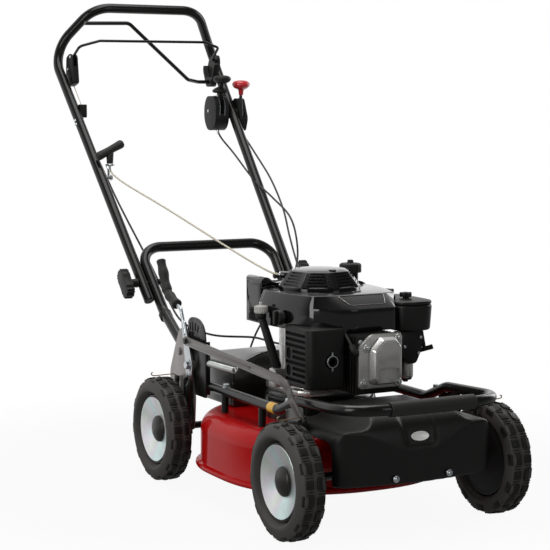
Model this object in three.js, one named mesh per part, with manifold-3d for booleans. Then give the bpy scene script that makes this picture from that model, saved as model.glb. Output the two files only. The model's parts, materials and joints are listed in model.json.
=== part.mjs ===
// Push lawn mower: petrol mulching mower with folding handle. Millimetres, +Z up, front towards -Y.
// Y is measured from the front axle and Z from the ground until the last lines centre the machine.
import * as THREE from 'three';
import { mergeVertices } from 'three/addons/utils/BufferGeometryUtils.js';
import Module from 'manifold-3d';

const wasm = await Module();
wasm.setup();

// ---------------------------------------------------------------- driving dimensions
const gap = 0.3;                  // between pieces that seat on each other
const runningGap = 0.6;           // round shafts and pins that turn

// wheels and axles
const wheelRadius = 120;
const wheelbase = 608;
const tyreWidth = 54;
const wheelCentreX = 243.5;
const rimRadius = 78;
const discRadius = 75;
const discRecess = 5;
const capRadius = 30;
const capRise = 8;
const treadDepth = 4;
const lugsPerRow = 11;
const lugLength = 30;
const axleRadius = 8;
const axleHeight = wheelRadius;

// deck
const deckLipZ = 62;
const deckLipRadius = 247;
const deckWallRadius = 236;
const deckWall = 2.5;
const deckTopZ = 184;
const deckShoulder = 40;
const deckCentreY = 300.7;
const deckStretch = wheelbase - 569;
const deckHoleRadius = 44;

// engine
const crankY = 305;
const crankRadius = 12.5;
const pedestalRadius = 122;
const pedestalHeight = 56;
const flangeThick = 12;
const crankcaseRadius = 88;
const cylinderX = 8;
const cylinderWidth = 104;
const cylinderBottomZ = 264;
const cylinderTopZ = 386;
const headFaceY = 72;
const finPitch = 11;
const finThick = 3.5;
const coverRise = 20;
const shroudBaseZ = 390;
const shroudTopZ = 463;
const shroudWall = 3;
const recoilRadius = 90;
const recoilTopRadius = 58;
const recoilHeight = 44;
const louvreRows = 3;
const louvresPerRow = 10;
const flywheelRadius = 76;
const tankDepth = 98;
const tankHalfWidth = 150;
const tankHeight = 82;

// cutting and drive
const bladeRadius = 228;
const bladeWidth = 52;
const bladeThick = 4;
const bladeZ = 78;
const pulleyZ = 208;
const inputY = wheelbase + 22;
const beltPulleyRadius = 36;
const caseFrontY = wheelbase - 11;
const caseBackY = wheelbase + 60;
const caseTopZ = 180;

// handle
const tubeRadius = 12.5;
const handleBendX = 233.4;
const handleBendY = wheelbase + 721.1;
const handleBendZ = 999.9;
const handleBendRadius = 80;
const tubeLean = [-0.0407, -0.6746, -0.7371];     // down the right-hand tube from its bend
const loopHalfWidth = 149.4;
const loopY = handleBendY - 87.5;
const loopZ = handleBendZ + 114.1;
const foldAlong = 766;            // from the bend down the tube to the fold bolt
const upperTubeLength = foldAlong + 54;
const legBendAlong = foldAlong + 85;
const lowerBarAlong = foldAlong - 106;
const lowerBarRadius = 55;
const handleFootY = wheelbase - 2;
const handleFootZ = 296;
const boltRadius = 4;

// frame, brackets and height linkage: outboard planes of the flat steel
const frameX = 180;
const frameRadius = 11;
const frameSideZ = 232;
const frameRearY = wheelbase - 48;
const frameHumpY = 72;
const frameHumpZ = 264;
const bumperY = -145;
const bumperZ = 274;
const bumperBend = 80;
const sleeveRadius = 15;
const sleeveHalf = 98;
const steelThick = 4;
const quadrantThick = 3;
const quadrantPlane = frameX + frameRadius + gap;
const platePlane = quadrantPlane + quadrantThick + gap;
const armPlane = 202;             // inner face of lever and front arms
const linkPlane = armPlane + steelThick + 2;
const pinRadius = 4;
const armPivotReach = 58;         // from each axle to its pivot, along Y
const armPivotRise = 22;          // from each axle to its pivot, along Z
const pivotZ = axleHeight + armPivotRise;
const linkPinY = 4;
const linkPinZ = 238;
const linkBendY = 59;
const linkBendZ = 304;
const leverPivotY = wheelbase - 66;
const leverPivotZ = 273;
const leverPinRise = 55.5;
const linkRatio = 0.58;           // turn of the axle arms for one turn of the lever
const notches = 5;
const notchStep = 8.75;           // degrees of lever travel between notches

// ---------------------------------------------------------------- colours
const paint = (color, roughness, metalness) =>
  new THREE.MeshStandardMaterial({ color, roughness, metalness });
const redPaint = paint(0x8e1414, 0.3, 0.3);
const blackPaint = paint(0x1b1b1c, 0.4, 0.3);
const blackMoulding = paint(0x232425, 0.55, 0);
const glossMoulding = paint(0x101112, 0.2, 0);
const blackSteel = paint(0x161617, 0.45, 0.5);
const greySteel = paint(0x77787a, 0.45, 0.8);
const zinc = paint(0xc3c6c8, 0.35, 0.9);
const castAlloy = paint(0xa9abab, 0.5, 0.8);
const tyreRubber = paint(0x2b2b2b, 0.85, 0);
const blackRubber = paint(0x1f1f20, 0.8, 0);
const redPlastic = paint(0xa5141a, 0.3, 0);
const ropeFibre = paint(0xd8cdb8, 0.9, 0);
const bladeSteel = paint(0x4a4d50, 0.5, 0.9);

// ---------------------------------------------------------------- solids
const mower = new THREE.Group();
const { cos, sin, PI, hypot, sqrt, abs, sign, tan, acos, atan2 } = Math;
const at = (x, y, z) => new THREE.Vector3(x, y, z);

function solid(geometry) {
  const bare = new THREE.BufferGeometry();
  bare.setAttribute('position', geometry.getAttribute('position').clone());
  if (geometry.index) bare.setIndex(geometry.index.clone());
  const merged = mergeVertices(bare, 1e-4);
  const corners = merged.index.array;
  const kept = [];
  for (let i = 0; i < corners.length; i += 3) {
    const [a, b, c] = corners.slice(i, i + 3);
    if (a !== b && b !== c && c !== a) kept.push(a, b, c);
  }
  return new wasm.Manifold(new wasm.Mesh({
    numProp: 3,
    vertProperties: new Float32Array(merged.getAttribute('position').array),
    triVerts: new Uint32Array(kept),
  }));
}

function put(name, form, material) {
  const { vertProperties, triVerts } = form.getMesh();
  const geometry = new THREE.BufferGeometry();
  geometry.setAttribute('position', new THREE.BufferAttribute(vertProperties, 3));
  geometry.setIndex(new THREE.BufferAttribute(triVerts, 1));
  geometry.computeVertexNormals();
  const mesh = new THREE.Mesh(geometry, material);
  mesh.name = name;
  mower.add(mesh);
}

const join = (...forms) => forms.reduce((whole, form) => whole.add(form));
const cut = (form, ...tools) => tools.reduce((rest, tool) => rest.subtract(tool), form);
const mirrorX = (form) => form.mirror([1, 0, 0]);

// geometry classes build along their own axes; these turn that axis onto x, y or z
const turns = {
  x: new THREE.Matrix4().makeBasis(at(0, 1, 0), at(0, 0, 1), at(1, 0, 0)),
  y: new THREE.Matrix4().makeBasis(at(1, 0, 0), at(0, 0, 1), at(0, -1, 0)),
  z: new THREE.Matrix4(),
};

function box(x0, x1, y0, y1, z0, z1) {
  const geometry = new THREE.BoxGeometry(x1 - x0, y1 - y0, z1 - z0);
  return solid(geometry.translate((x0 + x1) / 2, (y0 + y1) / 2, (z0 + z1) / 2));
}

// an outline in the two directions other than `axis` (in x, y, z order), drawn out from..to
function plate(axis, outline, from, to, curveSegments = 3) {
  const geometry = new THREE.ExtrudeGeometry(outline, { depth: to - from, bevelEnabled: false, curveSegments });
  geometry.applyMatrix4(turns[axis]);
  const shift = { x: [from, 0, 0], y: [0, to, 0], z: [0, 0, from] }[axis];
  return solid(geometry.translate(...shift));
}

// a round bar from one point to another
function rod(start, end, radius, sides = 8, endRadius = radius) {
  const reach = end.clone().sub(start);
  const geometry = new THREE.CylinderGeometry(endRadius, radius, reach.length(), sides);
  const turn = new THREE.Quaternion().setFromUnitVectors(at(0, 1, 0), reach.clone().normalize());
  const middle = start.clone().add(end).multiplyScalar(0.5);
  return solid(geometry.applyQuaternion(turn).translate(middle.x, middle.y, middle.z));
}

const rodX = (x0, x1, y, z, radius, sides) => rod(at(x0, y, z), at(x1, y, z), radius, sides);
const rodY = (y0, y1, x, z, radius, sides) => rod(at(x, y0, z), at(x, y1, z), radius, sides);
const rodZ = (z0, z1, x, y, radius, sides) => rod(at(x, y, z0), at(x, y, z1), radius, sides);

// profile of [radius, height] pairs turned about `axis` through `centre`
function revolve(axis, centre, profile, sides) {
  const geometry = new THREE.LatheGeometry(profile.map(([r, h]) => new THREE.Vector2(r, h)), sides);
  geometry.applyMatrix4(new THREE.Matrix4().makeRotationX(PI / 2));
  if (axis === 'x') geometry.applyMatrix4(turns.x);
  if (axis === 'y') geometry.applyMatrix4(new THREE.Matrix4().makeRotationX(-PI / 2));
  const turned = solid(geometry.translate(centre.x, centre.y, centre.z));
  return turned;
}

function polygon(radius, sides, phase = 0) {
  const points = [];
  for (let i = 0; i < sides; i++) {
    const a = phase + (2 * PI * i) / sides;
    points.push(new THREE.Vector2(radius * cos(a), radius * sin(a)));
  }
  return new THREE.Shape(points);
}

// outline through corners [u, v, radius], each corner rounded
function rounded(corners) {
  const shape = new THREE.Shape();
  const n = corners.length;
  corners.forEach(([u, v, radius], i) => {
    const [pu, pv] = corners[(i + n - 1) % n];
    const [nu, nv] = corners[(i + 1) % n];
    const before = Math.min(radius, hypot(pu - u, pv - v) / 2);
    const after = Math.min(radius, hypot(nu - u, nv - v) / 2);
    const enter = [u + ((pu - u) * before) / hypot(pu - u, pv - v), v + ((pv - v) * before) / hypot(pu - u, pv - v)];
    const leave = [u + ((nu - u) * after) / hypot(nu - u, nv - v), v + ((nv - v) * after) / hypot(nu - u, nv - v)];
    if (i === 0) shape.moveTo(...enter);
    else shape.lineTo(...enter);
    if (radius > 0) shape.quadraticCurveTo(u, v, ...leave);
  });
  shape.closePath();
  return shape;
}

// flat strap round two circles [u, v, radius]
function strap([u0, v0, r0], [u1, v1, r1]) {
  const along = atan2(v1 - v0, u1 - u0);
  const flare = acos((r0 - r1) / hypot(u1 - u0, v1 - v0));
  const shape = new THREE.Shape();
  shape.absarc(u0, v0, r0, along + flare, along - flare + 2 * PI, false);
  shape.absarc(u1, v1, r1, along - flare, along + flare, false);
  return shape;
}

// closed skin through rings of points; a closed loop of rings has no end caps
function loft(rings, loop = false) {
  const n = rings[0].length;
  const positions = rings.flat().flatMap((p) => [p.x, p.y, p.z]);
  const faces = [];
  const spans = loop ? rings.length : rings.length - 1;
  for (let r = 0; r < spans; r++) {
    const low = r * n;
    const high = ((r + 1) % rings.length) * n;
    for (let i = 0; i < n; i++) {
      const j = (i + 1) % n;
      faces.push(low + i, low + j, high + j, low + i, high + j, high + i);
    }
  }
  if (!loop) {
    for (const [ring, outward] of [[0, -1], [rings.length - 1, 1]]) {
      const middle = rings[ring].reduce((sum, p) => sum.add(p), at(0, 0, 0)).divideScalar(n);
      const apex = positions.length / 3;
      positions.push(middle.x, middle.y, middle.z);
      for (let i = 0; i < n; i++) {
        const a = ring * n + i;
        const b = ring * n + ((i + 1) % n);
        faces.push(apex, outward > 0 ? a : b, outward > 0 ? b : a);
      }
    }
  }
  const geometry = new THREE.BufferGeometry();
  geometry.setAttribute('position', new THREE.Float32BufferAttribute(positions, 3));
  geometry.setIndex(faces);
  const form = solid(geometry);
  return form;
}

// straight runs with a round bend at each inner corner [x, y, z, bend radius]
class BentPath extends THREE.Curve {
  constructor(corners, bendSteps = 5) {
    super();
    this.stations = [];
    const points = corners.map(([x, y, z]) => at(x, y, z));
    const last = points.length - 1;
    points.forEach((corner, i) => {
      const into = i > 0 ? corner.clone().sub(points[i - 1]).normalize() : null;
      const out = i < last ? points[i + 1].clone().sub(corner).normalize() : null;
      if (!into || !out) {
        this.stations.push([corner, into ?? out]);
        return;
      }
      const angle = into.angleTo(out);
      const radius = corners[i][3];
      const axis = into.clone().cross(out).normalize();
      const centreSide = axis.clone().cross(into);
      const start = corner.clone().addScaledVector(into, -radius * tan(angle / 2));
      const centre = start.clone().addScaledVector(centreSide, radius);
      for (let k = 0; k <= bendSteps; k++) {
        const turn = (angle * k) / bendSteps;
        const spoke = start.clone().sub(centre).applyAxisAngle(axis, turn);
        this.stations.push([spoke.add(centre), into.clone().applyAxisAngle(axis, turn)]);
      }
    });
    this.steps = this.stations.length - 1;
  }

  getPoint(t) {
    const place = Math.min(t * this.steps, this.steps - 1e-9);
    const i = Math.floor(place);
    return this.stations[i][0].clone().lerp(this.stations[i + 1][0], place - i);
  }

  getPointAt(u) { return this.getPoint(u); }

  getTangentAt(u) { return this.stations[Math.round(u * this.steps)][1].clone(); }
}

function tube(corners, radius, sides = 12, bendSteps = 5) {
  const path = new BentPath(corners, bendSteps);
  const settings = { steps: path.steps, extrudePath: path, bevelEnabled: false };
  return solid(new THREE.ExtrudeGeometry(polygon(radius, sides), settings));
}

function cable(points, radius, steps, sides = 6) {
  const curve = new THREE.CatmullRomCurve3(points.map(([x, y, z]) => at(x, y, z)), false, 'centripetal');
  const settings = { steps, extrudePath: curve, bevelEnabled: false };
  return solid(new THREE.ExtrudeGeometry(polygon(radius, sides), settings));
}

// ---------------------------------------------------------------- wheels
const wheelSides = 16;
const tyreHalf = tyreWidth / 2;
const carcassRadius = wheelRadius - treadDepth;
const tyreBore = rimRadius + 2 * gap;
const hubInner = wheelCentreX - tyreHalf + 0.5;

function tyre(centreX, y, outward) {
  const profile = [
    [tyreBore, -tyreHalf + 6], [tyreBore + 5, -tyreHalf + 1.5], [tyreBore + 19, -tyreHalf],
    [carcassRadius, -tyreHalf + 5],
  ];
  const outline = [...profile, ...profile.toReversed().map(([r, h]) => [r, -h])];
  const carcass = revolve('x', at(centreX, y, axleHeight), [...outline, outline[0]], wheelSides);
  const crown = sqrt(wheelRadius ** 2 - (lugLength / 2) ** 2);
  const lugs = [];
  for (const side of [-1, 1]) {
    for (let i = 0; i < lugsPerRow; i++) {
      const turn = (2 * PI * (i + (side > 0 ? 0.5 : 0))) / lugsPerRow;
      const lug = new THREE.BoxGeometry(tyreHalf - 4, lugLength, treadDepth + 13);
      lug.translate(side * (tyreHalf / 2 + 1.2), 0, crown - (treadDepth + 13) / 2);
      lug.applyMatrix4(new THREE.Matrix4().makeRotationX(turn * outward));
      lugs.push(solid(lug.translate(centreX, y, axleHeight)));
    }
  }
  return join(carcass, ...lugs);
}

// disc wheel turned from one profile: blind axle bore, hub, web, tyre seat and domed cap
function rim(centreX, y, outward) {
  const face = tyreHalf - discRecess;
  const seat = tyreHalf - 7;
  const bore = axleRadius + runningGap;
  const profile = [
    [0, face - 9], [bore, face - 9], [bore, -tyreHalf + 0.5], [22, -tyreHalf + 0.5], [24, face - 12],
    [rimRadius - 8, face - 8], [rimRadius - 6, -seat], [rimRadius, -seat], [rimRadius, seat],
    [discRadius, face], [capRadius + 2, face - 3], [capRadius, face + 1],
    [capRadius * 0.72, face + capRise * 0.8], [0, face + capRise + 1],
  ];
  const form = revolve('x', at(0, 0, 0), profile, wheelSides);
  return (outward > 0 ? form : mirrorX(form)).translate([centreX, y, axleHeight]);
}

const wheelPlaces = {
  front_right: [-1, 0], front_left: [1, 0], rear_right: [-1, wheelbase], rear_left: [1, wheelbase],
};
for (const [corner, [side, y]] of Object.entries(wheelPlaces)) {
  put(`tyre_${corner}`, tyre(side * wheelCentreX, y, side), tyreRubber);
  put(`rim_${corner}`, rim(side * wheelCentreX, y, side), zinc);
}

// ---------------------------------------------------------------- deck
// squared-off round outline, stretched towards the back
function deckRing(radius, z, steps = 24) {
  const ring = [];
  for (let i = 0; i < steps; i++) {
    const a = (2 * PI * (i + 0.5)) / steps;
    const squared = (v) => sign(v) * abs(v) ** (2 / 2.4);
    const y = radius * squared(sin(a));
    ring.push(at(radius * squared(cos(a)), deckCentreY + y + (y > 0 ? deckStretch : 0), z));
  }
  return ring;
}

function roundRing(radius, x, y, z, steps = 24) {
  const ring = [];
  for (let i = 0; i < steps; i++) {
    const a = (2 * PI * (i + 0.5)) / steps;
    ring.push(at(x + radius * cos(a), y + radius * sin(a), z));
  }
  return ring;
}

function deck() {
  const shoulderZ = deckTopZ - deckShoulder;
  const skin = (inset) => {
    const wall = deckWallRadius - inset;
    const top = deckTopZ - inset;
    const bend = [18, 42, 66].map((degrees) => {
      const a = (degrees * PI) / 180;
      return deckRing(wall - deckShoulder * (1 - cos(a)), top - deckShoulder * (1 - sin(a)));
    });
    return [deckRing(wall, shoulderZ - inset), ...bend, deckRing(wall - deckShoulder - 6, top)];
  };
  const rings = [
    roundRing(deckHoleRadius, 0, crankY, deckTopZ - deckWall),
    ...skin(deckWall).toReversed(),
    deckRing(deckWallRadius - deckWall, deckLipZ),
    deckRing(deckLipRadius - 2, deckLipZ), deckRing(deckLipRadius, deckLipZ + 3),
    deckRing(deckLipRadius - 3, deckLipZ + 6), deckRing(deckWallRadius, deckLipZ + 7),
    ...skin(0),
    roundRing(deckHoleRadius, 0, crankY, deckTopZ),
  ];
  const notch = box(hubInner - 1, deckLipRadius + 10, wheelbase - 138, wheelbase - 78, deckLipZ - 5, deckLipZ + 12);
  return cut(loft(rings, true), notch, mirrorX(notch));
}
put('deck', deck(), redPaint);

// pressed spacer that lifts the engine off the deck; the belt leaves through its rear slot
const pedestalZ = deckTopZ + gap;
const enginePlane = pedestalZ + pedestalHeight;
function pedestal() {
  const outline = [
    [pedestalRadius, 0], [pedestalRadius - 2, pedestalHeight - 6], [pedestalRadius - 8, pedestalHeight],
    [pedestalRadius - 30, pedestalHeight], [pedestalRadius - 30, pedestalHeight - 3],
    [pedestalRadius - 11, pedestalHeight - 3], [pedestalRadius - 3, 0],
  ];
  const ring = revolve('z', at(0, crankY, pedestalZ), [...outline, outline[0]], 24);
  return cut(ring, box(-52, 52, crankY, crankY + pedestalRadius + 10, pulleyZ - 12, pulleyZ + 12));
}
put('engine_pedestal', pedestal(), blackPaint);

// ---------------------------------------------------------------- front and rear covers
const coverHalf = frameX + 5 - gap;
const coverFaceY = -118;
const coverBottomZ = 114;
const coverCrownZ = 252;
const coverCrownHalf = 98;
const coverShoulderZ = 226;
const coverBackY = 98;
const coverShell = 3;
const recessHalf = 38;
const recessBottomZ = 188;
const recessDepth = 3;

function coverBlock(inset) {
  const half = coverHalf - inset;
  const crown = coverCrownHalf - inset;
  const face = coverFaceY + inset;
  const top = coverCrownZ - inset;
  const low = inset > 0 ? coverBottomZ - 20 : coverBottomZ;
  const back = inset > 0 ? coverBackY + 20 : coverBackY;
  const front = plate('y', rounded([
    [-half, low, 0], [half, low, 0], [half, coverShoulderZ - inset, 20],
    [crown + 14, coverShoulderZ - inset, 12], [crown, top, 14], [-crown, top, 14],
    [-crown - 14, coverShoulderZ - inset, 12], [-half, coverShoulderZ - inset, 20],
  ]), face - 20, back);
  const side = plate('x', rounded([
    [face + 4, low, 0], [face, low + 24, 30], [face + 8, coverShoulderZ - 20 - inset, 60],
    [face + 34, top, 40], [back, top + 10, 0], [back, low, 0],
  ]), -half - 5, half + 5);
  const plan = plate('z', rounded([
    [-half, back, 0], [-half, face + 26, 30], [0, face - 4, 300], [half, face + 26, 30], [half, back, 0],
  ]), low - 5, top + 20, 8);
  return front.intersect(side).intersect(plan);
}

function frontCover() {
  const outer = coverBlock(0);
  const recess = box(-recessHalf, recessHalf, coverFaceY - 30, 0, recessBottomZ, coverCrownZ + 20)
    .subtract(outer.translate([0, recessDepth, -1]));
  const wheelArch = box(-coverHalf - 5, coverHalf + 5, -72, coverBackY + 5, coverBottomZ - 5, 203)
    .subtract(box(-coverHalf + 32, coverHalf - 32, -80, coverBackY + 9, coverBottomZ - 9, 210));
  const deckWay = box(-coverHalf - 5, coverHalf + 5, 30, coverBackY + 30, coverBottomZ - 30, 196);
  return cut(outer, coverBlock(coverShell), recess, wheelArch, deckWay);
}
put('front_cover', frontCover(), blackMoulding);

const rearCoverHalf = 140;
const rearCoverFrontY = wheelbase - 156;
const rearCoverBackY = wheelbase + 82;
const rearCoverTopZ = 306;
const rearCoverCrownHalf = 60;

function rearBlock(inset) {
  const half = rearCoverHalf - inset;
  const top = rearCoverTopZ - inset;
  const front = rearCoverFrontY + inset;
  const low = inset > 0 ? deckTopZ - 40 : deckTopZ + gap;
  const across = plate('y', rounded([
    [-half, low, 0], [half, low, 0], [half, top - 30, 16], [rearCoverCrownHalf, top, 20],
    [-rearCoverCrownHalf, top, 20], [-half, top - 30, 16],
  ]), front, rearCoverBackY + 20);
  const backSlope = 0.4;
  const along = plate('x', rounded([
    [front - 1, low, 0], [front + 6, top + 12, 10], [rearCoverBackY - 40 - inset, top - 22, 30],
    [rearCoverBackY - inset + (deckTopZ - low) * backSlope, low, 0],
  ]), -half - 1, half + 1);
  return across.intersect(along);
}
const beltWay = box(-52, 52, crankY, rearCoverFrontY + 20, pulleyZ - 12, pulleyZ + 12);
put('rear_cover', cut(rearBlock(0), rearBlock(coverShell), beltWay), blackMoulding);

// ---------------------------------------------------------------- bumper frame
const postYs = [230, 408];
function frame() {
  const side = [[frameX, frameRearY, frameSideZ], [frameX, 150, frameSideZ, 60],
    [frameX, frameHumpY, frameHumpZ, 60], [frameX, bumperY, bumperZ, bumperBend]];
  const other = side.toReversed().map(([x, ...rest]) => [-x, ...rest]);
  let form = tube([...side, ...other], frameRadius, 8, 3);
  for (const hand of [-1, 1]) {
    const across = (x0, x1, y, z, radius, sides = 8) => rodX(hand * x0, hand * x1, y, z, radius, sides);
    const hanger = plate('x', rounded([
      [22, pivotZ - 18, 12], [86, pivotZ - 18, 12], [112, 240, 4], [60, 256, 4], [34, 256, 4],
    ]), frameX + 5, frameX + 5 + steelThick);
    const pin = across(frameX + 6, armPlane + steelThick + gap + 1, armPivotReach, pivotZ, 6);
    const spacer = across(frameX + 6, armPlane - gap, armPivotReach, pivotZ, 12);
    const head = across(armPlane + steelThick + gap, armPlane + steelThick + 4, armPivotReach, pivotZ, 10, 6);
    const posts = postYs.map((y) => rodZ(deckTopZ + gap, frameSideZ, hand * frameX, y, 8, 8));
    form = join(form, hand > 0 ? hanger : mirrorX(hanger), pin, spacer, head, ...posts);
  }
  return form;
}
put('bumper_frame', frame(), blackSteel);
put('bumper_sleeve', cut(rodX(-sleeveHalf, sleeveHalf, bumperY, bumperZ, sleeveRadius, 20),
  rodX(-sleeveHalf - 1, sleeveHalf + 1, bumperY, bumperZ, frameRadius + gap + 0.2, 20)), blackRubber);

// ---------------------------------------------------------------- axles with their crank arms
const axleEnd = wheelCentreX + tyreHalf - discRecess - 9 - runningGap;
const pivotHole = (y) => rodX(-linkPlane - 9, linkPlane + 9, y, pivotZ, 6 + runningGap, 10);

// the pin at the foot of the lever sits where its circle meets the rear arm's circle
const armY = wheelbase - armPivotReach;
const between = hypot(armY - leverPivotY, pivotZ - leverPivotZ);
const footReach = (between * linkRatio) / (1 + linkRatio);
const footPinY = leverPivotY + ((armY - leverPivotY) * footReach) / between;
const footPinZ = leverPivotZ + ((pivotZ - leverPivotZ) * footReach) / between;

function axle(y, pivotY, inner) {
  const arm = plate('x', strap([y, axleHeight, 14], [pivotY, pivotZ, 13]), inner, inner + steelThick);
  const collar = rodX(inner + 1, hubInner - gap, y, axleHeight, 12, 12);
  const half = join(arm, collar);
  return join(rodX(-axleEnd, axleEnd, y, axleHeight, axleRadius, 12), half, mirrorX(half));
}

function frontAxle() {
  const rocker = join(
    plate('x', strap([armPivotReach, pivotZ, 13], [linkPinY, linkPinZ, 9]), armPlane, armPlane + steelThick),
    plate('x', strap([0, axleHeight, 12], [linkPinY, linkPinZ, 9]), armPlane, armPlane + steelThick),
    rodX(armPlane + 1, linkPlane + steelThick + 1.5, linkPinY, linkPinZ, pinRadius),
  );
  return cut(join(axle(0, armPivotReach, armPlane), mirrorX(rocker)), pivotHole(armPivotReach));
}

function rearAxle() {
  const fork = plate('x', strap([armY, pivotZ, 13], [footPinY - 4, footPinZ + 7, 19]), linkPlane, linkPlane + steelThick);
  const slotHalf = pinRadius + 2;
  const slot = plate('x', strap([footPinY + 2, footPinZ - 4, slotHalf], [footPinY - 9, footPinZ + 16, slotHalf]),
    linkPlane - 1, linkPlane + steelThick + 1);
  return cut(join(axle(wheelbase, armY, linkPlane), mirrorX(fork)), mirrorX(slot), pivotHole(armY));
}
put('front_axle', frontAxle(), blackSteel);
put('rear_axle', rearAxle(), blackSteel);

// ---------------------------------------------------------------- rear brackets and height lever
// corners given from a place (y, z)
const around = (y, z, corners) => corners.map(([u, v, radius]) => [y + u, z + v, radius]);
const plateOutline = () => rounded([
  [armY - 24, frameSideZ - 32, 6], [armY - 18, pivotZ - 18, 12], [armY + 22, pivotZ - 18, 12],
  [wheelbase + 32, axleHeight + 38, 10], ...around(handleFootY, handleFootZ, [
    [58, -56, 20], [14, 34, 20], [-2, 56, 14], [-40, 56, 14],
  ]),
]);

function rearBracket() {
  const sheet = plate('x', plateOutline(), platePlane, platePlane + steelThick);
  const armPin = rodX(platePlane + 1, linkPlane + steelThick + gap + 1, armY, pivotZ, 6, 10);
  const armSpacer = rodX(platePlane + 1, linkPlane - gap, armY, pivotZ, 12, 10);
  const armHead = rodX(linkPlane + steelThick + gap, linkPlane + steelThick + 3.5, armY, pivotZ, 9, 6);
  const legBolt = rodX(handleFootX - tubeRadius - 7, platePlane + 1, handleFootY, handleFootZ, boltRadius);
  const legNut = rodX(handleFootX - tubeRadius - 7, handleFootX - tubeRadius - 1.5, handleFootY, handleFootZ, 8, 6);
  return join(sheet, armPin, armSpacer, armHead, legBolt, legNut);
}
const handleFootX = platePlane - gap - tubeRadius;
const leverPin = rodX(platePlane + 1, armPlane + steelThick + gap + 1, leverPivotY, leverPivotZ, 7, 10);
const leverBoss = rodX(platePlane + 1, armPlane - gap, leverPivotY, leverPivotZ, 12, 10);
const leverHead = rodX(armPlane + steelThick + gap, armPlane + steelThick + 5, leverPivotY, leverPivotZ, 11, 6);
const frameBoss = rodX(quadrantPlane, platePlane + 1, frameRearY - 16, frameSideZ, 9, 12);
put('rear_bracket_right', mirrorX(join(rearBracket(), leverPin, leverBoss, leverHead)), greySteel);
put('rear_bracket_left', join(rearBracket(), frameBoss), greySteel);

// quadrant: a slot for each height, on a circle about the lever pivot
function quadrant() {
  const sheet = plate('x', rounded(around(leverPivotY, leverPivotZ, [
    [-66, -67, 4], [-66, 79, 40], [-42, 107, 30], [6, 111, 30], [30, 99, 14], [30, -67, 4],
  ])), quadrantPlane, quadrantPlane + quadrantThick);
  const slots = [];
  for (let i = 0; i < notches; i++) {
    const a = ((18 - i * notchStep) * PI) / 180;
    const out = (reach) => [leverPivotY + reach * sin(a), leverPivotZ + reach * cos(a), 2.6];
    slots.push(plate('x', strap(out(82), out(95)), quadrantPlane - 1, quadrantPlane + quadrantThick + 1, 2));
  }
  const bossHole = rodX(quadrantPlane - 1, quadrantPlane + 5, leverPivotY, leverPivotZ, 9, 12);
  return mirrorX(cut(sheet, ...slots, bossHole));
}
put('height_quadrant', quadrant(), blackSteel);

const leverX = armPlane + steelThick / 2;
const stemRadius = 4.5;
const onLever = (y, z, ...bend) => [leverX, leverPivotY + y, leverPivotZ + z, ...bend];
const rodFootY = leverPivotY + 28;
const rodFootZ = leverPivotZ + 89;
const gripLine = [onLever(44, 123, 12), onLever(118, 152, 30), onLever(156, 227)];
function heightLever() {
  const hole = rodX(armPlane - 1, armPlane + steelThick + 1, leverPivotY, leverPivotZ, 7 + runningGap, 10);
  const blade = join(
    plate('x', strap([footPinY, footPinZ, 9], [leverPivotY, leverPivotZ, 15]), armPlane, armPlane + steelThick),
    plate('x', strap([leverPivotY, leverPivotZ, 15], [rodFootY, rodFootZ, 10]), armPlane, armPlane + steelThick),
  );
  const linkPin = rodX(armPlane + 1, linkPlane + steelThick + gap + 1, leverPivotY + 5, leverPivotZ + leverPinRise,
    pinRadius);
  const linkHead = rodX(linkPlane + steelThick + gap, linkPlane + steelThick + 3, leverPivotY + 5,
    leverPivotZ + leverPinRise, 7, 6);
  const footPin = rodX(armPlane + 1, linkPlane + steelThick + 1, footPinY, footPinZ, pinRadius);
  const stem = tube([onLever(19, 69), ...gripLine.slice(0, 2), onLever(152, 219)], stemRadius, 8, 4);
  return mirrorX(join(cut(blade, hole), linkPin, linkHead, footPin, stem));
}
put('height_lever', heightLever(), zinc);

// hand grip with finger waves, swept in the lever's plane
function leverGrip() {
  const path = new BentPath([onLever(64, 131), ...gripLine.slice(1)], 4);
  const rings = [];
  const steps = 10;
  for (let i = 0; i <= steps; i++) {
    const centre = path.getPoint(i / steps);
    const along = path.getTangentAt(i / steps);
    const acrossPlane = at(1, 0, 0);
    const up = along.clone().cross(acrossPlane);
    const swell = 11.5 + 1.2 * cos(i * 2.4) - (i % steps === 0 ? 2.5 : 0);
    const ring = [];
    for (let k = 0; k < 10; k++) {
      const a = (2 * PI * k) / 10;
      ring.push(centre.clone().addScaledVector(acrossPlane, swell * cos(a)).addScaledVector(up, swell * sin(a)));
    }
    rings.push(ring);
  }
  const bore = tube([onLever(48, 124.7), gripLine[1], onLever(153, 221)], stemRadius + 2 * gap, 8, 4);
  return mirrorX(cut(loft(rings), bore));
}
put('height_lever_grip', leverGrip(), blackRubber);

function linkBar() {
  const rearEnd = [leverPivotY + 5, leverPivotZ + leverPinRise];
  const bars = join(
    plate('x', strap([...rearEnd, 10], [linkBendY, linkBendZ, 10]), linkPlane, linkPlane + steelThick),
    plate('x', strap([linkBendY, linkBendZ, 10], [linkPinY, linkPinZ, 9]), linkPlane, linkPlane + steelThick),
  );
  const holes = [
    rodX(linkPlane - 1, linkPlane + 5, ...rearEnd, pinRadius + runningGap, 16),
    rodX(linkPlane - 1, linkPlane + 5, linkPinY, linkPinZ, pinRadius + 2),
    rodX(linkPlane - 1, linkPlane + 5, linkBendY + 165, linkBendZ + 8, 3, 8),
  ];
  return mirrorX(cut(bars, ...holes));
}
put('link_bar', linkBar(), greySteel);

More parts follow.
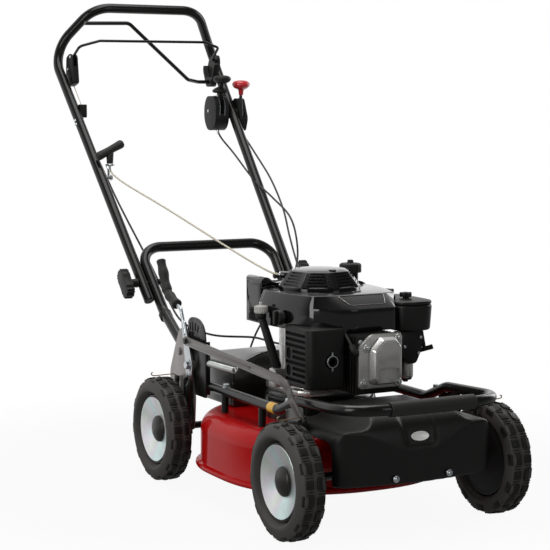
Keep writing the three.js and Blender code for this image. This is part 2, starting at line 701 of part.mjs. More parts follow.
// ---------------------------------------------------------------- handle
// centre of the left-hand upper tube at a distance down from its bend, moved inboard by `inset`
const downTube = (s, inset = 0) => [
  handleBendX + tubeLean[0] * s - inset, handleBendY + tubeLean[1] * s, handleBendZ + tubeLean[2] * s,
];
const legInset = 2 * tubeRadius + 1.2;
const [foldX, foldY, foldZ] = downTube(foldAlong);
const bothSides = (half) => [...half, ...half.toReversed().map(([x, ...rest]) => [-x, ...rest])];
const upperLine = bothSides([
  downTube(upperTubeLength), [...downTube(0), handleBendRadius], [loopHalfWidth, loopY, loopZ, handleBendRadius],
]);
const lowerLine = bothSides([
  [handleFootX, handleFootY, handleFootZ], [...downTube(legBendAlong, legInset), 45],
  [...downTube(lowerBarAlong, legInset), lowerBarRadius],
]);
const foldHole = rodX(-foldX - 20, foldX + 20, foldY, foldZ, boltRadius + gap, 10);
const footHole = rodX(-handleFootX - 20, handleFootX + 20, handleFootY, handleFootZ, boltRadius + gap, 10);
put('lower_handle', cut(tube(lowerLine, tubeRadius, 10, 3), foldHole, footHole), blackPaint);
put('upper_handle', cut(tube(upperLine, tubeRadius, 10, 4), foldHole), blackPaint);
const tubeSpace = tube(upperLine, tubeRadius + gap, 10, 4);

// bolt, nut and ribbed hand knob that lock the fold
const knobHalfLong = 38;
const knobHalfShort = 19;
const knobRibs = 14;
function foldKnob() {
  const outline = [];
  for (let i = 0; i < knobRibs * 2; i++) {
    const a = (PI * i) / knobRibs;
    const swell = i % 2 ? 0.92 : 1;
    const squared = (v) => sign(v) * sqrt(abs(v));
    const [u, v] = [knobHalfLong * swell * squared(cos(a)), knobHalfShort * swell * squared(sin(a))];
    outline.push(new THREE.Vector2(foldY + 0.68 * u - 0.73 * v, foldZ + 0.73 * u + 0.68 * v));
  }
  const legX = foldX - legInset;
  return join(
    plate('x', new THREE.Shape(outline), foldX + tubeRadius + 20, foldX + tubeRadius + 40),
    rodX(foldX + tubeRadius + 1, foldX + tubeRadius + 21, foldY, foldZ, 11, 12),
    rodX(legX - tubeRadius - 8, foldX + tubeRadius + 20, foldY, foldZ, boltRadius, 10),
    rodX(legX - tubeRadius - 8, legX - tubeRadius - 1, foldY, foldZ, 8, 6),
  );
}
put('fold_knob_left', foldKnob(), blackMoulding);
put('fold_knob_right', mirrorX(foldKnob()), blackMoulding);

// ---------------------------------------------------------------- hand controls
const bailY = handleBendY - 76.1;
const bailZ = handleBendZ - 15.9;
const bailRadius = 3.5;
const bailArmX = 206;
const bailBracketX = 214.6;
function bailBracket() {
  const block = plate('x', rounded(around(bailY, bailZ, [
    [-27, -66, 6], [9, -76, 6], [29, -44, 6], [25, 2, 6], [1, 12, 10], [-17, 6, 8],
  ])), -bailBracketX, -bailArmX + 9);
  const way = plate('x', rounded(around(bailY, bailZ, [
    [-73, -22, 2], [9, -22, 2], [21, -9, 2], [31, 26, 2], [-73, 26, 2],
  ])), -bailArmX - 5, -bailArmX + 5);
  const hole = rodX(-bailBracketX - 1, -bailArmX + 10, bailY, bailZ, bailRadius + runningGap);
  return cut(block, way, hole, tubeSpace);
}
put('bail_bracket', bailBracket(), blackMoulding);

const drivePivotY = bailY + 31;
const drivePivotZ = bailZ - 59;
const driveRadius = 5;
const bracketX = 217;              // outer face of the left-hand control bracket
function controlBracket() {
  const sheet = plate('x', rounded(around(bailY, bailZ, [
    [-13, -8, 8], [15, -72, 8], [43, -72, 8], [65, -24, 10], [47, 8, 10], [-7, 14, 10],
  ])), bracketX - 17, bracketX);
  const hollow = plate('x', rounded(around(bailY, bailZ, [
    [-18, 0, 4], [9, -46, 4], [47, -46, 4], [67, 6, 4], [-18, 26, 4],
  ])), bracketX - 27, bracketX - 4.5);
  const boss = rodX(bracketX - 13, bracketX - 3, bailY + 2, bailZ, 8.5, 12);
  const holes = [
    rodX(bracketX - 27, bracketX - 6, bailY, bailZ, bailRadius + runningGap),
    rodX(bracketX - 27, bracketX - 5, drivePivotY, drivePivotZ, driveRadius + runningGap),
  ];
  return cut(join(cut(sheet, hollow), boss), ...holes, tubeSpace);
}
put('control_bracket', controlBracket(), blackMoulding);

put('brake_bail', join(
  tube([[-bailArmX, bailY, bailZ], [-bailArmX, bailY - 53, bailZ + 28, 12], [-150, bailY - 53, bailZ + 43, 14],
    [150, bailY - 53, bailZ + 45, 14], [bracketX - 20, bailY - 41, bailZ + 32, 10], [bracketX - 20, bailY, bailZ, 5],
    [bracketX - 7, bailY, bailZ]], bailRadius, 8, 3),
  rodX(-bailArmX - 7.5, -bailArmX + 7.5, bailY, bailZ, bailRadius, 8),
), blackSteel);
put('drive_lever', tube([[-185, bailY - 38, bailZ + 88], [-62, bailY - 38, bailZ + 91, 25],
  [124, bailY - 3, bailZ - 54, 18], [168, drivePivotY, drivePivotZ, 12], [bracketX - 6, drivePivotY, drivePivotZ]],
driveRadius, 8, 4), blackSteel);

const holderY = handleBendY - 139.1;
const holderZ = handleBendZ - 153.9;
put('cable_holder', cut(box(-214, -196, holderY - 11, holderY + 11, holderZ - 17, holderZ + 17), tubeSpace), blackMoulding);

// engine speed lever in its box
const throttleX = 249;
const throttleY = handleBendY - 145.1;
const throttleZ = handleBendZ - 161.9;
const throttlePivotZ = throttleZ + 8;
function throttleBox() {
  const shell = plate('x', rounded([
    [throttleY - 20, throttleZ - 42, 10], [throttleY + 18, throttleZ - 36, 10],
    [throttleY + 25, throttleZ + 30, 12], [throttleY + 8, throttleZ + 42, 10], [throttleY - 25, throttleZ + 38, 12],
  ]), 237.2, throttleX + 11);
  const way = box(throttleX - 4, throttleX + 4, throttleY - 24, throttleY + 18, throttlePivotZ - 14, throttleZ + 50);
  const pin = rodX(throttleX - 6, throttleX + 6, throttleY, throttlePivotZ, 4, 10);
  const clamp = box(226, 238, throttleY - 12, throttleY + 12, throttleZ - 14, throttleZ + 14);
  return cut(join(cut(join(shell, clamp), way), pin), tubeSpace);
}
put('throttle_box', throttleBox(), blackMoulding);

function throttleLever() {
  const stem = plate('x', strap([throttleY, throttlePivotZ, 11], [throttleY - 3, throttleZ + 67, 7]),
    throttleX - 3, throttleX + 3);
  const knob = revolve('z', at(throttleX, throttleY - 4, throttleZ + 68), [
    [0, 0], [11, 1], [20, 6], [22.5, 12], [19, 19], [9, 22.5], [0, 23],
  ], 14);
  const hole = rodX(throttleX - 4, throttleX + 4, throttleY, throttlePivotZ, 4 + runningGap, 10);
  return cut(join(stem, knob), hole);
}
put('throttle_lever', throttleLever(), redPlastic);

// drive speed box with its lever
const gearX = 188;
const gearY = handleBendY - 123.1;
const gearZ = handleBendZ - 159.9;
const gearPivotZ = gearZ + 10;
function gearBox() {
  const shell = plate('x', rounded([
    [gearY - 36, gearZ - 24, 6], [gearY - 18, gearZ - 46, 6], [gearY + 18, gearZ - 46, 6],
    [gearY + 36, gearZ - 20, 6], [gearY + 36, gearZ + 20, 6], [gearY + 20, gearZ + 46, 6],
    [gearY - 22, gearZ + 46, 6], [gearY - 36, gearZ + 26, 6],
  ]), gearX - 20, gearX + 20);
  const way = box(gearX - 6.5, gearX + 6.5, gearY - 32, gearY + 14, gearPivotZ - 12, gearZ + 50);
  const pin = rodX(gearX - 8, gearX + 8, gearY - 8, gearPivotZ, 4, 10);
  const clamp = box(gearX + 19, 218, gearY - 24, gearY + 4, gearZ - 14, gearZ + 14);
  return cut(join(cut(join(shell, clamp), way), pin), tubeSpace);
}
put('gear_box', gearBox(), blackMoulding);

function gearLever() {
  const stem = plate('x', strap([gearY - 8, gearPivotZ, 10], [gearY - 30, gearZ + 86, 6]), gearX - 5, gearX + 5);
  const knob = revolve('z', at(gearX, gearY - 34, gearZ + 80), [
    [0, 0], [13, 1], [20, 6], [21.5, 12], [17, 18], [8, 21], [0, 21.5],
  ], 14);
  const collar = revolve('z', at(gearX, gearY - 22, gearZ + 54), [[0, 0], [16, 0.5], [21, 5], [19, 9], [10, 15], [0, 16]], 12);
  const hole = rodX(gearX - 6, gearX + 6, gearY - 8, gearPivotZ, 4 + runningGap, 10);
  return cut(join(stem, knob, collar), hole);
}
put('gear_lever', gearLever(), blackMoulding);

// ---------------------------------------------------------------- starter cord
const guideX = -188;
const guideY = handleBendY - 283.1;
const guideZ = handleBendZ - 288.9;
const guideBoltY = guideY - 10;
const guideBoltZ = guideZ - 32;
const ropeRadius = 2.2;
const gripLean = 26.6;            // degrees
const gripCentre = at(guideX, guideY, guideZ + 37);
function ropeGuide() {
  const wire = 3;
  const eye = new THREE.TorusGeometry(9, wire, 6, 12).translate(guideX, guideY, guideZ);
  const bolt = rodX(guideX - 16, guideX, guideBoltY, guideBoltZ, 4, 8);
  const nut = rodX(guideX - 4, guideX + 1, guideBoltY, guideBoltZ, 7, 6);
  const stay = tube([[guideX - 8, guideBoltY, guideBoltZ], [guideX - 8, guideBoltY, guideZ - 11, 8],
    [guideX - 9, guideY, guideZ]], wire, 8, 3);
  return cut(join(solid(eye), bolt, nut, stay), tubeSpace);
}
put('rope_guide', ropeGuide(), zinc);

function starterGrip() {
  const bar = revolve('x', at(0, 0, 0), [[0, -40], [7, -40], [11, -33], [11, 33], [7, 40], [0, 40]], 10);
  const stemFoot = at(guideX, guideY, guideZ + 3 + gap);
  const lean = bar.rotate([0, -gripLean, 0]).translate([gripCentre.x, gripCentre.y, gripCentre.z]);
  return join(lean, rod(stemFoot, gripCentre, 8, 10, 10));
}
put('starter_grip', starterGrip(), blackRubber);

// ---------------------------------------------------------------- rope and cables
const cableRadius = 2.5;
const outlet = [-66, 366, 489];
put('starter_rope', cable([
  outlet, [-76, 384, 492], [-150, 800, 617], [guideX + 3, guideY - 46, guideZ - 33], [guideX, guideY - 3, guideZ - 14],
  [guideX, guideY, guideZ],
], ropeRadius, 14), ropeFibre);
put('brake_cable', cable([
  [-204, holderY, holderZ - 17.4], [-204, holderY, holderZ - 30], [-203, holderY - 8, holderZ - 50],
  [-196, holderY - 90, holderZ - 126], [-186, holderY - 190, holderZ - 226], [-156, 880, 480],
  [-148, 790, 400], [-148, 700, 350], [-120, 600, 330], [-60, 500, 332], [-52, 440, 330], [-50, 392, 330],
], cableRadius, 24), blackRubber);
put('throttle_cable', cable([
  [throttleX, throttleY - 12, throttleZ - 43.5], [throttleX - 6, throttleY - 24, throttleZ - 63],
  [180, throttleY - 124, throttleZ - 138], [90, 960, 620], [30, 840, 560],
  [40, 620, 420], [90, 500, 350], [126, 380, 345], [132, 250, 345], [126, 166.5, 345],
], cableRadius, 24), blackRubber);
put('drive_cable', cable([
  [gearX, gearY - 6, gearZ - 48.5], [gearX - 6, gearY - 24, gearZ - 72], [140, gearY - 146, gearZ - 150],
  [80, 960, 610], [30, 850, 520], [20, caseBackY + 92, 420], [16, caseBackY + 47, 300], [16, caseBackY + 32, 180],
  [16, caseBackY + 22, axleHeight + 10], [16, caseBackY + 1, axleHeight + 10],
], cableRadius, 24), blackRubber);

// ---------------------------------------------------------------- engine
const headHalf = cylinderWidth / 2;
const crankcaseTopZ = shroudBaseZ - gap;
const fillerX = -130;
const fillerY = 257;
const fillerBaseZ = 300;
const tankFrontY = 346;
const tankBaseZ = 383;
const shaftHole = rodZ(0, 600, 0, crankY, crankRadius + runningGap, 16);

function crankcase() {
  const flange = plate('z', rounded([[-100, crankY - 100, 60], [100, crankY - 100, 60], [100, crankY + 100, 60],
    [-100, crankY + 100, 60]]), enginePlane + gap, enginePlane + flangeThick);
  const body = revolve('z', at(0, crankY, 0), [
    [0, enginePlane + 5], [crankcaseRadius + 6, enginePlane + 5], [crankcaseRadius + 6, 262], [crankcaseRadius, 268],
    [crankcaseRadius, crankcaseTopZ], [0, crankcaseTopZ],
  ], 24);
  const tankWay = box(-160, 160, tankFrontY, 480, tankBaseZ - gap, 400);
  const sump = plate('z', rounded([[fillerX - 14, fillerY - 14, 8], [-40, fillerY - 14, 0], [-40, fillerY + 18, 0],
    [fillerX - 14, fillerY + 14, 8]]), 262, fillerBaseZ - gap);
  const bolts = [[-92, 0], [92, 0], [0, -92], [0, 92]].map(([x, y]) =>
    rodZ(enginePlane + 8, enginePlane + flangeThick + 7, x * 0.98, crankY + y * 0.98, 8, 6));
  return cut(join(flange, cut(body, tankWay), sump, ...bolts), shaftHole);
}
put('crankcase', crankcase(), castAlloy);

function cylinder() {
  const left = cylinderX - headHalf;
  const right = cylinderX + headHalf;
  const core = box(left + 16, right - 16, headFaceY, 250, cylinderBottomZ + 12, cylinderTopZ - 12);
  const foot = box(left + 4, right - 4, 196, 250, cylinderBottomZ + 2, cylinderTopZ - 2);
  const fins = [];
  for (let y = headFaceY; y < 200; y += finPitch) {
    fins.push(box(left, right, y, y + finThick, cylinderBottomZ, cylinderTopZ));
  }
  const ports = join(rodX(left, left + 20, 150, 340, 17, 12), rodX(right - 20, right, 142, 345, 17, 12));
  const seat = rodZ(200, 500, 0, crankY, crankcaseRadius + 6 + gap, 24);
  return cut(join(core, foot, ...fins, ports), seat);
}
put('cylinder', cylinder(), blackPaint);

function valveCover() {
  const low = cylinderBottomZ + 12;
  const high = cylinderTopZ + 3;
  const flange = plate('y', rounded([[-41, low, 8], [62, low, 8], [62, high, 8], [-20, high, 8], [-41, high - 22, 8]]),
    headFaceY - gap - 8, headFaceY - gap);
  const panel = plate('y', rounded([[-12, low + 8, 6], [40, low + 8, 6], [54, low + 24, 6], [54, high - 24, 6],
    [40, high - 6, 6], [2, high - 6, 6], [-14, high - 24, 6]]), headFaceY - 8 - coverRise, headFaceY - 4);
  const bolts = [[-31, low + 12], [52, low + 10], [52, high - 10], [-26, high - 26]].map(([x, z]) =>
    rodY(headFaceY - gap - 13, headFaceY - 4, x, z, 6, 6));
  return join(flange, panel, ...bolts);
}
put('valve_cover', valveCover(), castAlloy);

// fan housing: a shell open below, its front sloping back over the cylinder head
function shroudRings(inset, baseZ, topZ) {
  const half = [[132, 230], [140, 300], [138, 330], [100, 362], [58, 388]];
  const plan = [[75, 105], [105, 150], ...half, [0, 398],
    ...half.toReversed().map(([x, y]) => [-x, y]), [-110, 150], [-50, 105]];
  const ring = (z, atTop) => plan.map(([x, y]) => {
    const side = x * (atTop ? 0.92 : 1) - sign(x) * inset;
    if (y < 200) return at(side, Math.max(y, atTop ? 150 : 0) + inset, z);
    return at(side, y > 340 ? y - inset - (atTop ? 4 : 0) : y, z);
  });
  return [ring(baseZ, false), ring(434 - inset, false), ring(topZ - inset, true)];
}
const footCircle = crankcaseRadius - 4;
function fanHousing() {
  const outer = loft(shroudRings(0, shroudBaseZ, shroudTopZ));
  const inner = loft(shroudRings(shroudWall, shroudBaseZ - 5, shroudTopZ));
  const inlet = rodZ(450, 480, 0, crankY, flywheelRadius - 2, 24);
  const arch = box(-160, -50, 90, 226, 380, 404);
  const feet = [20, 160, 230, 310].map((degrees) => {
    const a = (degrees * PI) / 180;
    return rodZ(shroudBaseZ, shroudTopZ - 1, footCircle * cos(a), crankY + footCircle * sin(a), 4, 8);
  });
  return cut(join(cut(outer, inner), ...feet), inlet, arch);
}
put('fan_housing', fanHousing(), glossMoulding);

// recoil starter cover: a low cone of louvres with a rope outlet
const recoilBaseZ = shroudTopZ + gap;
const recoilTopZ = recoilBaseZ + recoilHeight;
function recoilCover() {
  const coneRadius = (z) => recoilRadius - 3 - ((recoilRadius - recoilTopRadius - 6) * (z - 8)) / (recoilHeight - 10);
  const dome = (inset) => revolve('z', at(0, crankY, recoilBaseZ), [
    [0, inset ? -1 : 0], [recoilRadius - inset, inset ? -1 : 0], [recoilRadius - inset, 5],
    [coneRadius(8) - inset, 8], [coneRadius(recoilHeight - 2) - inset, recoilHeight - 2 - inset * 0.7],
    [recoilTopRadius - inset, recoilHeight - inset], [0, recoilHeight - inset],
  ], 2 * louvresPerRow);
  const slots = [];
  for (let row = 0; row < louvreRows; row++) {
    for (let i = 0; i < louvresPerRow; i++) {
      const z = recoilBaseZ + 11 + (row * (recoilHeight - 19)) / (louvreRows - 1);
      const slot = new THREE.BoxGeometry(30, 17, 3.5);
      slot.translate(coneRadius(z - recoilBaseZ), 0, 0);
      slot.rotateZ((2 * PI * (i + 0.25)) / louvresPerRow);
      slots.push(solid(slot.translate(0, crankY, z)));
    }
  }
  const [outX, outY, outZ] = outlet;
  const boss = rod(at(outX + 26, outY - 22, outZ - 1), at(outX + 2, outY - 1.5, outZ), 8, 10);
  const way = rod(at(outX + 40, outY - 34, outZ - 2), at(outX - 10, outY + 9, outZ), ropeRadius + 1.3, 8);
  const rib = box(-recoilTopRadius * 0.45, -recoilTopRadius * 0.32, crankY - 84, crankY - 50, recoilBaseZ + 1,
    recoilBaseZ + 22);
  return cut(join(cut(dome(0), ...slots), rib, boss), dome(shroudWall), way);
}
put('recoil_cover', recoilCover(), glossMoulding);

// ---------------------------------------------------------------- fuel and oil
const fuelCapX = 118;
const fuelCapY = 372;
const neckRadius = 18;
const neckTopZ = 492;
const tankLeftX = 28 - tankHalfWidth;
const humpHeight = 16;
const humpInnerX = tankLeftX + 32;
const tankWall = 3;
function fuelTank() {
  const backY = tankFrontY + tankDepth;
  const plan = (inset) => rounded([[tankLeftX + inset, tankFrontY + inset, 18],
    [tankHalfWidth - inset, tankFrontY + inset, 18], [tankHalfWidth - inset, backY - inset, 40],
    [tankLeftX + inset, backY - inset, 40]]);
  const across = (inset) => plate('y', rounded([[tankLeftX - 4 + inset, tankBaseZ + inset, 14],
    [160 - inset, tankBaseZ + inset, 14], [160 - inset, 452 - inset, 14], [130, tankTopZ - inset, 10],
    [humpInnerX + 22, tankTopZ - inset, 10], [humpInnerX, tankTopZ + humpHeight - inset, 10],
    [tankLeftX + inset, tankTopZ + humpHeight - inset, 12]]), tankFrontY - 5, 460);
  const shape = (inset) => plate('z', plan(inset), tankBaseZ + inset, 500).intersect(across(inset));
  const neck = rodZ(460, neckTopZ, fuelCapX, fuelCapY, neckRadius, 16);
  const bore = rodZ(455, neckTopZ + 1, fuelCapX, fuelCapY, neckRadius - 4, 16);
  const fanWay = (extra) => join(loft(shroudRings(-1 - extra, shroudBaseZ - 15, shroudTopZ + 1)),
    rodZ(shroudTopZ - 10, 530, 0, crankY, recoilRadius + 1.5 + extra, 24));
  return cut(join(shape(0), neck), fanWay(0), cut(shape(tankWall), fanWay(tankWall)), bore);
}
const tankTopZ = tankBaseZ + tankHeight + 3;
put('fuel_tank', fuelTank(), blackMoulding);

// cap with a skirt over the neck
put('fuel_cap', revolve('z', at(fuelCapX, fuelCapY, 0), [
  [0, neckTopZ + gap], [neckRadius + gap, neckTopZ + gap], [neckRadius + gap, 485], [25, 485], [25, 503], [21, 507],
  [6, 507], [5, 513], [0, 513],
], 20), blackMoulding);

const oilCapX = -155;
const oilCapY = 283;
put('oil_filler_tube', join(
  rodZ(fillerBaseZ, fillerBaseZ + 8, fillerX, fillerY, 9, 12),
  rod(at(fillerX, fillerY, fillerBaseZ + 4), at(oilCapX, oilCapY, 412), 8, 10, 8),
  rodZ(409, 417.4, oilCapX, oilCapY, 10, 12),
), blackMoulding);
put('oil_cap', revolve('z', at(oilCapX, oilCapY, 417.7), [
  [0, 0], [14, 0], [15, 3], [15, 13], [12, 16], [5, 17], [4, 24], [0, 24],
], 14), greySteel);

put('fuel_knob', join(rodX(-148, -134.4, 226, 414, 16, 14), box(-155, -147, 222, 230, 399, 429)), blackMoulding);

// ---------------------------------------------------------------- muffler, air cleaner, carburettor
const guardX = -137;
const guardInnerX = -54;
const guardFrontY = 100;
const guardBackY = 222;
const guardBaseZ = 275;
const guardTopZ = 400;
function mufflerGuard() {
  const shell = (inset) => plate('z', rounded([[guardX + inset, guardFrontY + inset, 14],
    [guardInnerX + inset, guardFrontY + inset, 0], [guardInnerX + inset, guardBackY - inset, 0],
    [guardX + inset, guardBackY - inset, 14]]), guardBaseZ + inset, guardTopZ - inset);
  const slots = [];
  for (let z = guardBaseZ + 14; z < guardTopZ - 16; z += 13) {
    slots.push(box(guardX - 1, guardX + 3, guardFrontY + 16, guardBackY - 16, z, z + 6));
  }
  const spoutWay = rodY(guardFrontY - 1, guardFrontY + 3, -86, 333, 14, 16);
  const innerEdge = shell(2).translate([4, 0, 0]);
  return cut(shell(0), join(shell(2), innerEdge), ...slots, spoutWay);
}
put('muffler_guard', mufflerGuard(), blackSteel);

function muffler() {
  const can = plate('z', rounded([[guardX + 2.3, guardFrontY + 8, 14], [-62, guardFrontY + 8, 14],
    [-62, guardBackY - 8, 14], [guardX + 2.3, guardBackY - 8, 14]]), guardBaseZ + 8, guardTopZ - 8);
  const pipe = rodX(-64, cylinderX - headHalf - gap, 150, 340, 13, 12);
  const spout = rodY(guardFrontY - 6, guardFrontY + 10, -86, 333, 11, 12);
  const spoutBore = rodY(guardFrontY - 8, guardFrontY + 20, -86, 333, 7, 10);
  return cut(join(can, pipe, spout), spoutBore);
}
put('muffler', muffler(), castAlloy);

const cleanerTopZ = 446;
function airCleaner() {
  const shell = plate('z', rounded([[80, 95, 22], [174, 95, 26], [174, 265, 26], [80, 265, 22]]), 383, cleanerTopZ - 9);
  const lid = plate('z', rounded([[86, 101, 18], [168, 101, 22], [168, 259, 22], [86, 259, 18]]), cleanerTopZ - 10,
    cleanerTopZ);
  const knobs = [154, 226].map((y) => {
    const stem = rodZ(cleanerTopZ - 1, cleanerTopZ + 5, 138, y, 7, 10);
    const lobes = new THREE.Shape();
    for (let i = 0; i < 20; i++) {
      const a = (2 * PI * i) / 20;
      const r = 11.5 + 2 * cos(5 * a);
      if (i === 0) lobes.moveTo(r, 0);
      else lobes.lineTo(r * cos(a), r * sin(a));
    }
    return join(stem, plate('z', lobes, cleanerTopZ + 4, cleanerTopZ + 15).translate([138, y, 0]));
  });
  const fanSpace = loft(shroudRings(-1, shroudBaseZ - 10, shroudTopZ));
  return cut(join(shell, lid, ...knobs), fanSpace);
}
put('air_cleaner', airCleaner(), blackMoulding);

function carburettor() {
  const body = box(98, 140, 118, 166, 312, 376);
  const riser = rodZ(370, 383 - gap, 122, 142, 16, 12);
  const manifold = rodX(cylinderX + headHalf + gap, 100, 142, 345, 14, 12);
  const bowl = rodZ(278, 314, 120, 142, 17, 14);
  const drain = rodZ(270, 280, 120, 142, 5, 6);
  const arm = box(138, 160, 136, 148, 352, 356);
  return join(body, riser, manifold, bowl, drain, arm);
}
put('carburettor', carburettor(), castAlloy);

// ---------------------------------------------------------------- crankshaft, blade and drive
const vaneCount = 8;
const boltFloor = bladeZ - bladeThick / 2 - gap;
function crankshaft() {
  const topZ = 452;
  const adapterZ = bladeZ + bladeThick / 2 + gap;
  const profile = [
    [0, boltFloor - 8], [12, boltFloor - 8], [12, boltFloor], [8, boltFloor], [8, adapterZ], [26, adapterZ],
    [26, adapterZ + 14], [17, adapterZ + 20], [17, adapterZ + 34], [crankRadius, adapterZ + 34],
    [crankRadius, pulleyZ - 8], [32, pulleyZ - 8], [27, pulleyZ], [32, pulleyZ + 8], [crankRadius, pulleyZ + 8],
    [crankRadius, 404], [flywheelRadius, 404], [flywheelRadius, 420], [crankRadius + 8, 424], [crankRadius + 8, topZ],
    [0, topZ],
  ];
  const shaft = revolve('z', at(0, crankY, 0), profile, 12);
  const vanes = [];
  for (let i = 0; i < vaneCount; i++) {
    const vane = new THREE.BoxGeometry(34, 3, 26);
    vane.translate(flywheelRadius - 20, 0, 0);
    vane.rotateZ((2 * PI * (i + 0.5)) / vaneCount);
    vanes.push(solid(vane.translate(0, crankY, 430)));
  }
  return join(shaft, ...vanes);
}
put('crankshaft', crankshaft(), greySteel);

// mulching blade: ends bent up behind the cutting edges
function blade() {
  const half = bladeWidth / 2;
  const low = bladeZ - bladeThick / 2;
  const high = bladeZ + bladeThick / 2;
  const tip = bladeRadius;
  const profile = new THREE.Shape([[0, low], [150, low], [196, low + 22], [tip - 2, low + 22], [tip - 2, high + 22],
    [194, high + 22], [148, high], [0, high]].map(([u, v]) => new THREE.Vector2(u, v)));
  const arm = plate('y', profile, -half, half);
  const plan = plate('z', rounded([[-1, -half, 0], [130, -half, 6], [tip, -half + 18, 4], [tip, half - 6, 8], [-1, half, 0]]),
    low - 1, high + 30);
  const centreBore = rodZ(low - 1, high + 1, 0, 0, 8 + gap, 12);
  const one = arm.intersect(plan);
  return cut(join(one, one.rotate([0, 0, 180])), centreBore).translate([0, crankY, 0]);
}
put('blade', blade(), bladeSteel);

// transmission hung on the rear axle, driven by a belt from the crankshaft

function gearCase() {
  const caseForm = plate('x', rounded([[caseFrontY, axleHeight - 22, 10], [caseBackY - 8, axleHeight - 22, 12],
    [caseBackY, caseTopZ - 30, 12], [caseBackY - 12, caseTopZ, 8], [caseFrontY + 10, caseTopZ, 8],
    [caseFrontY, caseTopZ - 30, 10]]), -40, 40);
  const axleHole = rodX(-50, 50, wheelbase, axleHeight, axleRadius + gap, 12);
  const input = rodZ(caseTopZ - 2, pulleyZ - 9, 0, inputY, 12, 12);
  const spindle = rodZ(caseTopZ - 2, pulleyZ + 10, 0, inputY, 6, 10);
  return cut(join(caseForm, input, spindle), axleHole);
}
put('gearbox', gearCase(), castAlloy);
put('drive_pulley', cut(revolve('z', at(0, inputY, pulleyZ), [
  [0, -8], [beltPulleyRadius, -8], [beltPulleyRadius - 5, 0], [beltPulleyRadius, 8], [0, 8],
], 24), rodZ(150, 300, 0, inputY, 6 + runningGap, 10)), greySteel);

function driveBelt() {
  const loop = (extra, half) => plate('z', strap([0, crankY, 30 + extra], [0, inputY, beltPulleyRadius - 2 + extra]),
    pulleyZ - half, pulleyZ + half, 5);
  return cut(loop(5, 3.4), loop(0, 5));
}
put('drive_belt', driveBelt(), blackRubber);

// ---------------------------------------------------------------- centre on the ground
const whole = new THREE.Box3().setFromObject(mower);
mower.position.y = -(whole.min.y + whole.max.y) / 2;
mower.position.z = -whole.min.z;

export default mower;
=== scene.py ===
# Push lawn mower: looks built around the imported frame.
import json
import math

import bpy
from mathutils import Matrix, Vector

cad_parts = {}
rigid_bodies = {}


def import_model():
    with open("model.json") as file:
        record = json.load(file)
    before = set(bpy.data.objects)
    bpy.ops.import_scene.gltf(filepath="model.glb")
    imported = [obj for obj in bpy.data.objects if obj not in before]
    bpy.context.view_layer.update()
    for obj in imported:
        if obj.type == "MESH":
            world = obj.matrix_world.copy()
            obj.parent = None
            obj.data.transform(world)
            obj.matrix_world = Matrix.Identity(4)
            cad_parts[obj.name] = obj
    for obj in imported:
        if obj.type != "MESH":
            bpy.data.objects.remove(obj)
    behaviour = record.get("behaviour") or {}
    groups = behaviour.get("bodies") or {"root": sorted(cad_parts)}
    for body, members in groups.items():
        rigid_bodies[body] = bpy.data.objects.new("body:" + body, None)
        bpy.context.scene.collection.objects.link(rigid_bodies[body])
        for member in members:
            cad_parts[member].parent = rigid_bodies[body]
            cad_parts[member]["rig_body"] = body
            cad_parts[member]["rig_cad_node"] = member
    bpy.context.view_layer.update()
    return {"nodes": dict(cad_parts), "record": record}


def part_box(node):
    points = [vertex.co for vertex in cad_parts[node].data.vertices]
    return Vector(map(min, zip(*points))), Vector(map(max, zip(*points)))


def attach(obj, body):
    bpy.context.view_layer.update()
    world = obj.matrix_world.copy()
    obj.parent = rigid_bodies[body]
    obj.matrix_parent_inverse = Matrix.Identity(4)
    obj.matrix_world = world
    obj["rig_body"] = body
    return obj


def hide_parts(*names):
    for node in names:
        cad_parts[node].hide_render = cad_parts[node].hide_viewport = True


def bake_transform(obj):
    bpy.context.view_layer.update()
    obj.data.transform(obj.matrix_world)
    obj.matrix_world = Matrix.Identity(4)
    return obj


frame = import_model()
nodes = frame["nodes"]
print("frame loaded:", len(nodes), "nodes")

rimLow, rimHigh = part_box("rim_front_right")
frontAxleY = (rimLow.y + rimHigh.y) / 2
groundZ = (rimLow.z + rimHigh.z) / 2 - 0.120  # the wheel's middle stands one tyre radius up


def spot(x, y, z):  # millimetres: x from the middle, y from the front axle, z from the ground
    return Vector((x / 1000, frontAxleY + y / 1000, groundZ + z / 1000))


def mm(value):
    return value / 1000


origin = Vector((0, 0, 0))


def clearSelection():
    if bpy.context.mode != "OBJECT":
        bpy.ops.object.mode_set(mode="OBJECT")
    bpy.ops.object.select_all(action="DESELECT")


def onlySelect(piece):
    clearSelection()
    piece.select_set(True)
    bpy.context.view_layer.objects.active = piece


def editAll(kind="FACE"):
    bpy.ops.object.mode_set(mode="EDIT")
    bpy.ops.mesh.select_mode(type=kind)
    bpy.ops.mesh.select_all(action="SELECT")


def editDone():
    bpy.ops.object.mode_set(mode="OBJECT")


def pickFaces(piece, test):  # starts editing the faces whose centre and normal pass the test
    onlySelect(piece)
    editAll()
    bpy.ops.mesh.select_all(action="DESELECT")
    editDone()
    for face in piece.data.polygons:
        face.select = bool(test(face.center, face.normal))
    bpy.ops.object.mode_set(mode="EDIT")


def insetFaces(width, rise=0):
    bpy.ops.mesh.inset(thickness=mm(width), depth=mm(rise))


def drawFaces(x, y, z):  # drawn out of the piece by these steps
    bpy.ops.mesh.extrude_region_move(TRANSFORM_OT_translate={"value": (mm(x), mm(y), mm(z))})


def scaleFaces(shares, centre):
    bpy.ops.transform.resize(value=shares, center_override=centre)


def pickVerts(piece, test):  # edits only the corners whose place passes the test
    editDone()
    for item in list(piece.data.polygons) + list(piece.data.edges):
        item.select = False
    for vert in piece.data.vertices:
        vert.select = bool(test(vert.co))
    bpy.ops.object.mode_set(mode="EDIT")


def applyPlace(piece):  # its place goes into the mesh
    onlySelect(piece)
    bpy.ops.object.transform_apply(location=True, rotation=True, scale=True)


